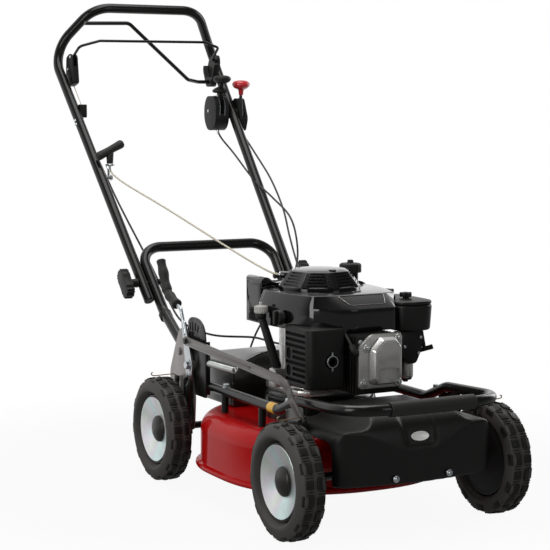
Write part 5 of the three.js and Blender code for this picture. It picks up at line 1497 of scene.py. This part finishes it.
def makeFuelKnob():
    body = turned("fuelKnob", "x", spot(-148, 226, 414),
                  [(8, 0), (15.4, 0.4), (16, 1.6), (16, 11.6), (15, 12.8), (4, 13)], 48)
    lever = slab(
        "lever", "x", roundedLine([(222, 399, 3), (230, 399, 3), (231.5, 429, 4), (220.5, 429, 4)], 5),
        -155, -147.5)
    roundEdges(lever, 1.4, 3)
    seat = turned("seat", "x", spot(-136, 226, 414), [(11, 0), (11.6, 0.8), (11.6, 4), (9, 4.4)], 40)
    knob = joinPieces("fuelKnob", [body, lever, seat])
    standIn(knob, "fuel_knob", "mouldBlack", shade=36)


makeRecoil()
makeFanHousing()
makeTank()
makeCaps()
makeFiller()
makeGuard()
makeCleaner()
makeValveCover()
makeSparkPlug()
makeFuelKnob()
print("engine forms made")


def makeCarburettor():
    body = slab("carburettor", "y",
                roundedLine([(98, 318, 6), (132, 312, 8), (142, 330, 8), (142, 372, 6), (104, 378, 6),
                             (98, 360, 6)], 6), 118, 166)
    roundEdges(body, 2, 3)
    plate = slab("plate", "y",
                 roundedLine([(92, 382, 4), (92, 340, 12), (104, 312, 6), (130, 312, 8), (146, 350, 10),
                              (146, 382, 4)], 6), 113.6, 117.6)
    roundEdges(plate, 0.8)
    arm = slab("arm", "z", roundedLine([(134, 137, 2), (160, 137, 5), (160, 147, 5), (134, 147, 2)], 6),
               351.5, 355)
    roundEdges(arm, 0.6)
    bars = [  # name, start, end, radius, sides, radius at the end
        ("riser", (122, 142, 366), (122, 142, 382.7), 16, 48),
        ("manifold", (60.3, 142, 345), (100, 142, 345), 14, 48),
        ("armPin", (154, 142, 344), (154, 142, 361), 3.2, 24),
        ("stay", (150, 130, 384), (158, 126, 340), 5, 24, 4),
        ("sleeve", (148, 132, 336), (176, 122, 344), 4.6, 24, 5.4)]
    riser, manifold, *smaller = [bar(name, spot(*low), spot(*high), *sizes) for name, low, high,
                                 *sizes in bars]
    foot = turned("foot", "z", spot(120, 142, 269.5),
                  [(4, 0), (6, 0.4), (6, 4), (11, 4.6), (14, 6), (14.6, 9)], 40)
    whole = joinPieces("carburettor", [body, riser, manifold, plate, arm, *smaller, foot])
    standIn(whole, "carburettor", "heatBlack", shade=34)
    bowl = turned("floatBowl", "z", spot(120, 142, 278), [
        (10, 0), (15, 0.8), (16.6, 3), (17, 6), (17, 31), (18.4, 31.6), (18.4, 36), (4, 36)], 56,
        angle=36)
    addTo(bowl, "carburettor", "castAlloy")
    screws = [hexBolt("plateScrew", spot(x, 113.8, z), "y", 7, 3.6) for x,
              z in ((99, 350), (134, 334), (139, 368))]
    screws = [turnOnce(screw, Vector((0, spot(0, 113.8, 0).y, spot(0, 0, z).z)), 180)
              for screw, z in zip(screws, (350, 334, 368))]
    addTo(joinPieces("plateScrews", screws), "carburettor", "zinc")


makeCarburettor()
print("carburettor made")


linkage = {
    "leverPivot": (542, 273), "footPin": (544.9, 224.9), "rodFoot": (570, 362), "linkRear": (547, 328.5),
    "linkBend": (59, 304), "linkFront": (4, 238), "inner": (202, 206), "outer": (208, 212),
}


def flatStrap(name, first, second, low, high, perEnd=20):
    return slab(name, "x", strapLine(first, second, perEnd), low, high)


def pinAcross(name, x0, x1, place2d, radius, sides=32):
    return bar(name, spot(x0, *place2d), spot(x1, *place2d), radius, sides)


def headAcross(name, x0, x1, place2d, across):  # hexagon head or nut with softened corners
    head = bar(name, spot(x0, *place2d), spot(x1, *place2d), across * 0.577, 6)
    roundEdges(head, 0.5)
    return head


def makeLinkBar():
    low, high = -linkage["outer"][1], -linkage["outer"][0]
    rear, bendAt, front = linkage["linkRear"], linkage["linkBend"], linkage["linkFront"]
    turnPoints = [(bendAt[0] + 36, bendAt[1] + 1.8), (bendAt[0] + 12, bendAt[1] - 4),
                  (bendAt[0] - 6, bendAt[1] - 18),
                  (bendAt[0] - 14, bendAt[1] - 32)]  # the bar turns down in a soft bend
    piece = flatStrap("linkBar", (*rear, 10), (*turnPoints[0], 10), low, high)
    for i, (start, end) in enumerate(zip(turnPoints, turnPoints[1:] + [front])):
        fuse(
            piece, flatStrap("turn", (*start, 9.99 - i * 0.1),
                             (*end, 9.9 - i * 0.1 if end is not front else 9),
                              low + 0.01 * (i + 1), high - 0.01 * (i + 1)))
    holes = [pinAcross("hole", low - 1, high + 1, rear, 4.5),
             pinAcross("hole", low - 1, high + 1, front, 6),
             pinAcross("hole", low - 1, high + 1, (bendAt[0] + 165, bendAt[1] + 8), 3)]
    cutWith(piece, *holes)
    roundEdges(piece, 0.7)
    standIn(piece, "link_bar", "barSteel", shade=34)


def makeLever():
    low, high = -linkage["inner"][1], -linkage["inner"][0]
    pivot, foot, rod, rear = (linkage[k] for k in ("leverPivot", "footPin", "rodFoot", "linkRear"))
    blade = flatStrap("heightLever", (*foot, 10), (*pivot, 18), low, high)
    fuse(blade, flatStrap("upper", (*pivot, 17.98), (*rod, 10), low + 0.01, high - 0.01))
    cutWith(blade, pinAcross("hole", low - 1, high + 1, pivot, 7.6),
            pinAcross("hole", low - 1, high + 1, (557, 318), 3),
            pinAcross("hole", low - 1, high + 1, (564, 341), 2.5))
    roundEdges(blade, 0.7)
    stem = sweptTube(
        "stem", bentPath(
            [(-204, 561, 342), (-204, 586, 396, 12), (-204, 660, 425, 30), (-204, 694, 492)], 12),
                     4.5, 10, 50)
    whole = joinPieces("heightLever", [blade, stem, pinAcross("pin", -213, -203, foot, 4)])
    standIn(whole, "height_lever", "zinc", shade=34)
    pins = [pinAcross("linkPin", -214, -203, rear, 4), turned("pinHead", "x", spot(-216.6, *rear), [
        (4, 0), (7, 0.8), (7.6, 2), (7.6, 3.4), (4.4, 4.2)], 32)]
    linkPin = joinPieces("linkPin", pins)
    addTo(linkPin, "height_lever", "blackSteel", shade=40)


def makeGrip():  # dipped rubber grip with finger waves
    line = bentPath([(-204, 606, 404), (-204, 660, 425, 30), (-204, 698, 500)], 16)
    fine = []
    for start, end in zip(line, line[1:]):
        count = max(1, int((end - start).length * 1000 / 2.5))
        fine += [start.lerp(end, k / count) for k in range(count)]
    fine.append(line[-1])
    total = len(fine) - 1
    swells = []
    for i in range(len(fine)):
        share = i / total
        end = min(share, 1 - share) * total * 2.5  # millimetres from the nearer end
        swell = 11.3 + 1.1 * math.cos(share * 24)
        swells.append(swell - (3 - end) ** 2 * 0.35 if end < 3 else swell)
    grip = sweptTube("leverGrip", fine, 1, 14, 60, swells)
    standIn(grip, "height_lever_grip", "softRubber")


def makeQuadrant():
    y, z = linkage["leverPivot"]
    low, high = -194.3, -191.3
    corners = [(-66, -67, 4), (-66, 79, 40), (-42, 107, 30), (6, 111, 30), (30, 99, 14), (30, -67, 4)]
    sheet = slab("heightQuadrant", "x", roundedLine([(y + u, z + v, r) for u, v, r in corners], 10), low,
                 high)
    cuts = []
    for i in range(5):
        a = math.radians(18 - i * 8.75)
        ends = [(y + reach * math.sin(a), z + reach * math.cos(a), 2.6) for reach in (82, 95)]
        cuts.append(flatStrap("notch", *ends, low - 1, high + 1, 10))
    cuts.append(pinAcross("hole", low - 1, high + 1, (y, z), 9))
    cutWith(sheet, *cuts)
    roundEdges(sheet, 0.6)
    flange = block("flange", -194.3, -183, y - 66.2, y - 63.4, z - 60, z + 60)
    roundEdges(flange, 0.8)
    whole = joinPieces("heightQuadrant", [sheet, flange])
    standIn(whole, "height_quadrant", "blackSteel", shade=34)


def bracketSheet(name):
    armY, foot = 550, (606, 296)
    corners = [(armY - 24, 200, 6), (armY - 18, 124, 12), (armY + 22, 124, 12), (640, 158, 10)]
    corners += [(foot[0] + u, foot[1] + v, r) for u, v,
                r in ((58, -56, 20), (14, 34, 20), (-2, 56, 14), (-40, 56, 14))]
    sheet = slab(name, "x", roundedLine(corners, 10), 194.6, 198.6)
    roundEdges(sheet, 0.7)
    arm = (armY, 142)
    parts = [sheet, pinAcross("spacer", 198, 207.7, arm, 12), pinAcross("pin", 198, 213, arm, 6),
             headAcross("nut", 212.3, 215.5, arm, 16), headAcross("bolt", 198.5, 203, foot, 14),
             pinAcross("washer", 198.5, 199.8, foot, 9.4), pinAcross("legBolt", 162, 199, foot, 4),
             headAcross("legNut", 162.3, 167.8, foot, 14)]
    return parts


def makeBrackets():
    left = joinPieces("rearBracketLeft",
                      [*bracketSheet("bracketLeft"), pinAcross("boss", 191.3, 196, (544, 232), 9)])
    standIn(left, "rear_bracket_left", "flatSteel", shade=34)
    pivot = linkage["leverPivot"]
    raw = joinPieces("rearBracketRight",
                     [*bracketSheet("bracketRight"), pinAcross("boss", 195, 201.7, pivot, 12),
                      pinAcross("leverPin", 195, 207.3, pivot, 7)])
    right = mirrored(raw, "rearBracketRight")
    bpy.data.objects.remove(raw)
    standIn(right, "rear_bracket_right", "flatSteel", shade=34)
    bolt = turnAndMove(hexBolt("leverBolt", origin, "x", 17, 8.5, 13.5), "Z", spot(-206.4, *pivot))
    addTo(bolt, "rear_bracket_right", "zinc")


def coilSpring(name, start, end, radius, wire, pitch, perTurn=14):
    along = end - start
    side = along.cross(Vector((0, 0, 1))).normalized()
    up = side.cross(along).normalized()
    turns = int(along.length * 1000 / pitch)
    route = []
    for k in range(turns * perTurn + 1):
        a = 2 * math.pi * k / perTurn
        across = (side * math.cos(a) + up * math.sin(a)) * mm(radius)
        route.append(start + along * k / (turns * perTurn) + across)
    return sweptTube(name, route, wire, 2, 60)


def makeSpring():  # tight tension spring with a hooked end on each side
    start, end = spot(-186, 486, 284), spot(-184, 352, 286)
    coil = coilSpring("assistSpring", start, end, 5.6, 1.15, 2.5)
    way = (end - start).normalized()
    hooks = []
    for tip, sense in ((start, -1), (end, 1)):
        route = [tip + way * sense * mm(t) + Vector((0, 0, mm(h))) for t, h in
                 ((-1, 6.4), (2, 5), (5, 1.5), (9, 0), (13, 2.4), (15, 5.6), (13, 8.4), (9.6, 7.6))]
        hooks.append(sweptTube("hook", route, 1.15, 3, 60))
    spring = joinPieces("assistSpring", [coil, *hooks])
    addTo(spring, "rear_bracket_right", "springZinc", shade=60)


def makeScrapers():  # a wire over each tyre, held in a small block on the arm, that knocks grass off
    for end, axle, y in (("front", "front_axle", 0), ("rear", "rear_axle", 608)):
        for side, hand in (("right", -1), ("left", 1)):
            lean = -1 if end == "front" else 1
            route = [(205, y - lean * 6, 236), (212, y - lean * 4, 243.6), (232, y, 244.2),
                     (262, y + lean * 3, 243.4),
                     (267, y + lean * 4, 245.5), (267.5, y + lean * 4, 249.5),
                     (263.5, y + lean * 4, 250.6)]
            wire = sweptTube("scraper", smoothRoute([(hand * x, v, w) for x, v, w in route], 6), 1.2, 4,
                             60)
            wire.name = "scraperWire_" + end + "_" + side
            addTo(wire, axle, "springWire")
            low, high = sorted((hand * 201, hand * 209))
            foot = block("scraperBlock_" + end + "_" + side, low, high, y - 7, y + 7, 226, 240)
            roundEdges(foot, 1.8, 3)
            smoothShade(foot, 40)
            strap = slab("stay", "x",
                         roundedLine(
                             [(y - 6, 130, 3), (y + 6, 130, 3), (y + 5, 236, 3), (y - 5, 236, 3)], 4),
                         *sorted((hand * 202.2, hand * 205)))
            whole = joinPieces(foot.name, [foot, strap])
            addTo(whole, axle, "mouldBlack")


makeLinkBar()
makeLever()
makeGrip()
makeQuadrant()
makeBrackets()
makeSpring()
makeScrapers()
print("height linkage made")


frameTube = {"half": 180, "rear": 560, "side": 232, "hump": (72, 264), "bumper": (-145, 274),
             "radius": 11,
             "posts": (230, 408), "bolts": (112, 402)}


def makeFrame():
    half, side, (humpY, humpZ), (noseY,
                                 noseZ) = (frameTube[k] for k in ("half", "side", "hump", "bumper"))
    corners = [(half, frameTube["rear"], side), (half, 150, side, 70), (half, humpY, humpZ, 60),
               (half, noseY, noseZ, 80)]
    corners += [(-x, *rest) for x, *rest in reversed(corners)]
    parts = [sweptTube("bumperFrame", bentPath(corners, 14), frameTube["radius"], 10, 50)]
    for hand in (-1, 1):
        hanger = slab("hanger", "x",
                      roundedLine(
                          [(22, 124, 12), (86, 124, 12), (112, 240, 4), (60, 256, 4), (34, 256, 4)], 8),
                      *sorted((hand * 185, hand * 189)))
        roundEdges(hanger, 0.7)
        parts += [hanger, barX("pin", hand * 186, hand * 208, 58, 142, 6),
                  barX("spacer", hand * 186, hand * 201.7, 58, 142, 12)]
        head = barX("head", hand * 206.3, hand * 211, 58, 142, 11, 6)
        roundEdges(head, 0.6)
        parts.append(head)
        for y in frameTube["posts"]:
            parts.append(bar("post", spot(hand * half, y, 184.4), spot(hand * half, y, side), 8, 32))
    whole = joinPieces("bumperFrame", parts)
    standIn(whole, "bumper_frame", "tubeBlack", shade=40)
    bolts = []
    for hand in (-1, 1):
        for y, z in zip(frameTube["bolts"], (side + 24, side + 10)):
            bolts.append(hexBolt("frameBolt", spot(hand * half, y, z - 1.4), "z", 12, 8.5, 8.5))
    addTo(joinPieces("frameBolts", bolts), "bumper_frame", "zinc")
    band = bar("frameBand", spot(-half, 190, side), spot(-half, 163, side), frameTube["radius"] + 0.35,
               48)
    addTo(band, "bumper_frame", "bandYellow", shade=40)


def makeAxles():
    armAt, pivotZ = 58, 142
    for name, y, pivotY, inner in (("front_axle", 0, armAt, 202), ("rear_axle", 608, 608 - armAt, 208)):
        rod = barX("rod", -255.8, 255.8, y, 120, 8, 40)
        roundEdges(rod, 0.8)
        parts = [rod]
        for hand in (-1, 1):
            sheet = sorted((hand * inner, hand * (inner + 4)))
            arm = flatStrap("arm", (y, 120, 14), (pivotY, pivotZ, 13), *sheet)
            if hand < 0 and name == "front_axle":
                fuse(
                    arm, flatStrap("rocker", (armAt, pivotZ, 12.98), (4, 238, 9), sheet[0] + 0.01,
                                   sheet[1] - 0.01),
                     flatStrap("rocker", (0, 120, 12), (4, 238, 8.98), sheet[0] + 0.02, sheet[1] - 0.02))
            if hand < 0 and name == "rear_axle":
                fuse(
                    arm, flatStrap("fork", (pivotY, pivotZ, 12.98), (540.9, 231.9, 19), sheet[0] + 0.01,
                                   sheet[1] - 0.01))
                cutWith(
                    arm, flatStrap("slot", (546.9, 220.9, 6), (535.9, 240.9, 6), sheet[0] - 1,
                                   sheet[1] + 1))
            cutWith(arm, pinAcross("hole", sheet[0] - 1, sheet[1] + 1, (pivotY, pivotZ), 6.3))
            roundEdges(arm, 0.7)
            parts += [arm, barX("collar", hand * (inner + 1), hand * 216.4, y, 120, 12, 40)]
        if name == "front_axle":
            parts += [pinAcross("pin", -213.5, -203, (4, 238), 4),
                      headAcross("pinHead", -216, -212.5, (4, 238), 12)]
        whole = joinPieces(name, parts)
        standIn(whole, name, "blackSteel", shade=38)


makeFrame()
makeAxles()
print("frame and axles made")


def squaredOval(long, short, ribs, perRib=6):
    line = []
    for k in range(ribs * perRib):
        a = 2 * math.pi * k / (ribs * perRib)
        swell = 0.95 + 0.05 * math.cos(ribs * a)
        across, rise = math.cos(a), math.sin(a)
        line.append((long * swell * math.copysign(math.sqrt(abs(across)), across),
                     short * swell * math.copysign(math.sqrt(abs(rise)), rise)))
    return line


def makeFoldKnobs():
    foldX, foldY, foldZ = 202.2, 812.4, 435.3
    line = [(foldY + 0.68 * u - 0.73 * v, foldZ + 0.73 * u + 0.68 * v) for u,
            v in squaredOval(38, 19, 14)]
    knob = slab("foldKnob", "x", line, foldX + 32.5, foldX + 52.5)
    roundEdges(knob, 2.6, 3, 50)
    stem = bar("stem", spot(foldX + 13.6, foldY, foldZ), spot(foldX + 33.5, foldY, foldZ), 11, 40, 9.6)
    bolt = barX("bolt", foldX - 46.6, foldX + 32.4, foldY, foldZ, 4)
    nut = pinAcross("nut", foldX - 46.6, foldX - 39.8, (foldY, foldZ), 8, 6)
    roundEdges(nut, 0.5)
    left = joinPieces("foldKnobLeft", [knob, stem, bolt, nut])
    smoothShade(left, 36)
    right = mirrored(left, "foldKnobRight")
    smoothShade(right, 36)
    standIn(left, "fold_knob_left", "mouldBlack")
    standIn(right, "fold_knob_right", "mouldBlack")


levers = {
    "throttle_lever": {
        "names": ("throttleStem", "redKnob"), "at": (249, 1184, 838), "foot": (0, 8, 11),
        "tip": (-3, 60, 4.4), "low": 247,
        "high": 251, "hole": (245, 253), "edge": 1, "knobAt": (-4, 67), "knob": [
            (5.4, -16), (6.2, -14), (6.6, -6), (8.4, -2), (14, 0.6), (19, 3.4), (22.6, 7.6), (23.8, 12),
            (22.8, 16.2),
            (20, 19.6), (15, 22), (8, 23.4), (2, 23.8)]},
    "gear_lever": {
        "names": ("gearLever", "gearKnob"), "at": (188, 1206, 840), "foot": (-8, 10, 10),
        "tip": (-30, 86, 6), "low": 183,
        "high": 193, "hole": (182, 194), "edge": 1.6, "knobAt": (-34, 80), "knob": [
            (12, 0), (15, 0.8), (21, 4.4), (24.2, 9.4), (24.2, 12.4), (22.4, 16), (18.6, 18.8),
            (11, 20.8),
            (2, 21.4)]},
}


def makeLevers():
    made = {}
    for node, look in levers.items():
        x, y, z = look["at"]
        (footY, footZ, footR), (tipY, tipZ,
                                tipR), (knobY, knobZ) = look["foot"], look["tip"], look["knobAt"]
        foot, tip = (y + footY, z + footZ, footR), (y + tipY, z + tipZ, tipR)
        stem = flatStrap(look["names"][0], foot, tip, look["low"], look["high"])
        cutWith(stem, pinAcross("hole", *look["hole"], foot[:2], 4.3))
        roundEdges(stem, look["edge"], 3)
        knob = ridgedCap(look["names"][1], spot(x, y + knobY, z + knobZ), look["knob"], 8, 0.8, 3, 19, 8)
        made[node] = stem, knob
    stem, knob = made["throttle_lever"]
    addTo(stem, "throttle_lever", "blackSteel", shade=40)
    standIn(knob, "throttle_lever", "knobRed", shade=40)
    x, y, z = levers["gear_lever"]["at"]
    collar = turned("collar", "z", spot(x, y - 22, z + 54), [
        (14, 0), (17, 0.6), (20.4, 3), (21, 6), (19, 9.4), (13, 13.6), (8, 15.8), (2, 16)], 48, angle=50)
    standIn(joinPieces("gearLever", [*made["gear_lever"], collar]), "gear_lever", "mouldBlack", shade=40)


def makeGrips():
    centre = spot(-188, 1046, 748)
    bow = turned("starterGrip", "x", centre,
                 [(3, -40), (7, -39.6), (9.4, -37.6), (10.8, -34), (11, -30), (10, -12), (9.7, 0),
                  (10, 12), (11, 30), (10.8, 34), (9.4, 37.6), (7, 39.6), (3, 40)], 40, angle=50)
    turnOnce(bow, centre, -26.6, "Y")
    stem = bar("stem", spot(-188, 1046, 714.5), spot(-188, 1046, 742), 8, 32, 9.6)
    roundEdges(stem, 1)
    grip = joinPieces("starterGrip", [bow, stem])
    standIn(grip, "starter_grip", "softRubber", shade=50)


def podSheet(name, y, z, corners, low, high, edge, *ways):  # moulded box, slots cut before rounding
    pod = slab(name, "x", roundedLine([(y + u, z + v, r) for u, v, r in corners], 8), low, high)
    cutWith(pod, *ways)
    roundEdges(pod, edge, 4, 30)
    return pod


pods = {
    "gear_box": {
        "name": "gearBox", "at": (188, 1206, 840), "low": 168, "high": 208, "edge": 4,
        "outline": [(-36, -24, 16), (-16, -46, 14), (16, -46, 14), (36, -18, 16), (36, 20, 14),
                    (20, 46, 12),
                    (-22, 46, 12), (-36, 26, 14)],
        "way": (181.5, 194.5, 1164, 1220, 838, 892), "clamp": (205, 217.8, 1182, 1210, 826, 854),
        "cheek": [(-38.4, 20, 6), (-36, -8, 4), (6, 30, 6), (6, 47, 4), (-26, 48.5, 5)],
        "cheeksAt": [(-8, -6.4), (6.4, 8)]},
    "throttle_box": {
        "name": "throttleBox", "at": (249, 1184, 838), "low": 237.2, "high": 260, "edge": 2.4,
        "outline": [(-12, -46, 8), (12, -42, 10), (25, -6, 14), (25, 34, 8), (16, 42, 6), (-2, 42, 8),
                    (-25, -12, 10)],
        "way": (245, 253, 1156, 1202, 832, 888), "clamp": (226, 238.5, 1172, 1196, 824, 852),
        "cheek": [(-24, -4, 5), (-10, -12, 4), (12, 24, 5), (6, 43, 4), (-20, 40, 5)],
        "cheeksAt": [(-4.6, -3.2)]},
}


def makePods():
    for node, look in pods.items():
        x, y, z = look["at"]
        pod = podSheet(look["name"], y, z, look["outline"], look["low"], look["high"], look["edge"],
                       block("way", *look["way"]))
        clamp = block("clamp", *look["clamp"])
        line = roundedLine([(y + u, z + v, radius) for u, v, radius in look["cheek"]], 5)
        if node == "gear_box":
            roundEdges(clamp, 2, 3)
            fittings = [turned("podScrew", "x", spot(x - 21.2, y + 10, z + 6), [
                            (4, 0), (4.2, 1), (3.4, 2.2), (3.4, 3)], 24),
                        bar("nipple", spot(x, y - 7, z - 44), spot(x, y - 10, z - 56), 4.2, 20, 3.2)]
        else:
            cutWith(clamp, bar("tubeWay", spot(*alongHandle(150)), spot(*alongHandle(300)), 12.8))
            fittings = [turned("nipple", "z", spot(x, y - 12, z - 50), [(3, 0), (3.6, 6), (3.6, 10)], 20)]
        standIn(joinPieces(look["name"], [pod, clamp]), node, "mouldBlack", shade=36)
        cheeks = [slab("cheek", "x", line, x + low, x + high) for low, high in look["cheeksAt"]]
        addTo(joinPieces(look["name"] + "Metal", cheeks + fittings), node, "zinc", shade=36)


brakeFittings = {
    "bail_bracket": {
        "name": "bailBracket", "at": (1253, 984), "low": -214.6, "high": -197, "edge": 3,
        "outline": [(-27, -66, 8), (9, -76, 8), (29, -44, 8), (25, 2, 8), (1, 12, 10), (-17, 6, 8)],
        "screwX": -214.4, "screws": [(1265, 954), (1247, 986)]},
    "cable_holder": {
        "name": "cableHolder", "at": (1190, 846), "low": -214, "high": -196, "edge": 2.4,
        "outline": [(-11, -17, 5), (8, -17, 6), (11, -8, 6), (11, 12, 6), (4, 17, 5), (-11, 17, 4)],
        "screwX": -214, "screws": [(1192, 852)]},
    "upper_handle": {"screwX": -240, "screws": [(1150, 822), (1144, 812)]},
}
bailWay = [(-73, -22, 2), (9, -22, 2), (21, -9, 2), (31, 26, 2), (-73, 26, 2)]  # the bail goes in here
brakeWireEnds = (-206, 1250, 916), (-206, 1193, 861)  # from the bail's bracket to the cable holder
clip = {  # a strap that keeps the brake cable on the lower handle
    "at": (-173, 741, 362), "lean": 38,
    "profile": [(12.2, -8), (14.6, -8), (15.4, -7), (15.4, 7), (14.6, 8), (12.2, 8)],
}


def makeBrakeFittings():
    for node, look in brakeFittings.items():
        if "outline" not in look:
            continue
        pod = podSheet(look["name"], *look["at"], look["outline"], look["low"], look["high"],
                       look["edge"])
        if node == "bail_bracket":
            y, z = look["at"]
            line = roundedLine([(y + u, z + v, radius) for u, v, radius in bailWay], 3)
            cutWith(pod, slab("way", "x", line, -210.5, -201.5))
        standIn(pod, node, "mouldBlack", shade=36)
    for node, look in brakeFittings.items():
        heads = [turned("smallScrew", "x", spot(look["screwX"] - 2.8, y, z), [
            (1.4, 0), (3.4, 0.5), (4.2, 1.6), (4.2, 3.4)], 24) for y, z in look["screws"]]
        addTo(joinPieces(node + "Screws", heads), node, "zinc", shade=36)
    wire = sweptTube("brakeWire", [spot(*point) for point in brakeWireEnds], 0.9, 4, 60)
    addTo(wire, "upper_handle", "springWire")
    strap = turned("cableClip", "y", origin, clip["profile"], 40, hollow=True, angle=40)
    turnOnce(strap, origin, clip["lean"])
    moveTo(strap, spot(*clip["at"]))
    addTo(strap, "lower_handle", "mouldBlack")


makePods()
makeBrakeFittings()
makeFoldKnobs()
makeLevers()
makeGrips()
print("controls made")


studio = {
    "cameraAt": (-1740.3, -2778.6, 850.2), "lookAt": (10.53, 532.23, 469.13), "lens": 106.54,
    "floorTone": tone(168, 168, 167), "worldLight": 0.32,
    "floorFade": (0.5, 1.3, 0.93, 1.0),  # a reach between the first two gives a value between the others
    "floorMirror": (0.0, 0.8, 0.28, 1.0), "worldFade": (-0.1, 0.45, 0.10, 1.0),
    "lamps": [  # name, place, what it faces, width, height, watts
        ("overhead", (-200, 650, 2300), (0, 400, 300), 1.8, 1.2, 26),
        ("leftBox", (-2400, -500, 1150), (0, 300, 350), 0.8, 1.8, 24),
        ("frontFill", (900, -2600, 1500), (0, 200, 300), 0.9, 1.4, 9),
        ("rightRim", (2300, 900, 1300), (0, 400, 500), 0.7, 1.6, 14)],
}


def aimed(name, data, place3d, facing):  # a lamp or camera at one place, looking at another
    holder = bpy.data.objects.new(name, data)
    bpy.context.scene.collection.objects.link(holder)
    holder.location = spot(*place3d)
    holder.rotation_euler = (spot(*facing) - spot(*place3d)).to_track_quat("-Z", "Y").to_euler()
    return holder


def bounced(tree, path):  # 1 for a ray that comes from a shiny or clear surface
    return addMath(tree, "MAXIMUM", path.outputs["Is Glossy Ray"], path.outputs["Is Transmission Ray"])


def makeFloor():
    clearSelection()
    bpy.ops.mesh.primitive_plane_add(size=30, location=(0, 0, 0))
    floor = bpy.context.active_object
    floor.name = "studioFloor"
    material, tree, shader = newMaterial("floorPaper")
    setInputs(shader, {"Base Color": studio["floorTone"], "Roughness": 0.9, "Specular IOR Level": 0.0})
    glow = addNode(tree, "Emission")
    path = addNode(tree, "LightPath")
    seen = path.outputs["Is Camera Ray"]
    mirror = bounced(tree, path)
    place3d = addNode(tree, "TexCoord").outputs["Object"]
    reach = addNode(tree, "VectorMath", place3d, operation="LENGTH").outputs["Value"]
    fade = addRange(tree, reach, *studio["floorFade"])  # the shadow shows near the machine only
    further = addRange(tree, addNode(tree, "SeparateXYZ", place3d).outputs["Y"], *studio["floorMirror"])
    strength = addMath(tree, "MULTIPLY_ADD", mirror, further, seen)  # bright behind it in reflections
    tree.links.new(strength, glow.inputs["Strength"])
    share = addMath(tree, "ADD", mirror, addMath(tree, "MULTIPLY", seen, fade))
    mix = addNode(tree, "MixShader", share)
    tree.links.new(shader.outputs[0], mix.inputs[1])
    tree.links.new(glow.outputs[0], mix.inputs[2])
    tree.links.new(mix.outputs[0], tree.nodes["Material Output"].inputs["Surface"])
    floor.data.materials.append(material)


def makeWorld():  # the white backdrop stands behind, the front is a dark room
    world = bpy.data.worlds.new("studioWorld")
    bpy.context.scene.world = world
    world.use_nodes = True
    tree = world.node_tree
    back = tree.nodes["Background"]
    setInputs(back, {"Color": (1, 1, 1, 1)})
    path = addNode(tree, "LightPath")
    seen = path.outputs["Is Camera Ray"]
    facing = addNode(tree, "SeparateXYZ", addNode(tree, "TexCoord").outputs["Generated"])
    behind = addRange(tree, facing.outputs["Y"], *studio["worldFade"])
    mirror = bounced(tree, path)
    plain = addMath(tree, "SUBTRACT", addMath(tree, "SUBTRACT", 1.0, seen), mirror)
    strength = addMath(tree, "MULTIPLY_ADD", plain, studio["worldLight"], seen)
    strength = addMath(tree, "MULTIPLY_ADD", mirror, behind, strength)
    tree.links.new(strength, back.inputs["Strength"])


def makeLamps():
    for name, place3d, facing, width, height, watts in studio["lamps"]:
        lamp = bpy.data.lights.new(name, "AREA")
        lamp.shape = "RECTANGLE"
        lamp.size = width
        lamp.size_y = height
        lamp.energy = watts
        aimed(name, lamp, place3d, facing)


def makeCamera():
    camera = bpy.data.cameras.new("studioCamera")
    camera.lens = studio["lens"]
    camera.sensor_width = 36
    camera.clip_end = 60
    scene = bpy.context.scene
    scene.camera = aimed("studioCamera", camera, studio["cameraAt"], studio["lookAt"])
    scene.view_settings.view_transform = "Standard"


makeFloor()
makeWorld()
makeLamps()
makeCamera()
print("studio set")


plainFinish = {
    "black_moulding": "mouldBlack", "grey_steel": "flatSteel", "zinc": "zinc", "cast_alloy": "castAlloy",
    "black_rubber": "softRubber", "blade_steel": "bladeSteel",
}
# the muffler's near-black finish is painted shade behind the guard's slots
ownFinish = {"cylinder": "heatBlack", "muffler": "soot"}
stillPlain = [node for node in sorted(nodes) if not nodes[node].hide_render]
for node in stillPlain:
    standIn(softened(node), node, ownFinish.get(node) or plainFinish[slotOf[node]])
print("CAD forms finished:", len(stillPlain), stillPlain)
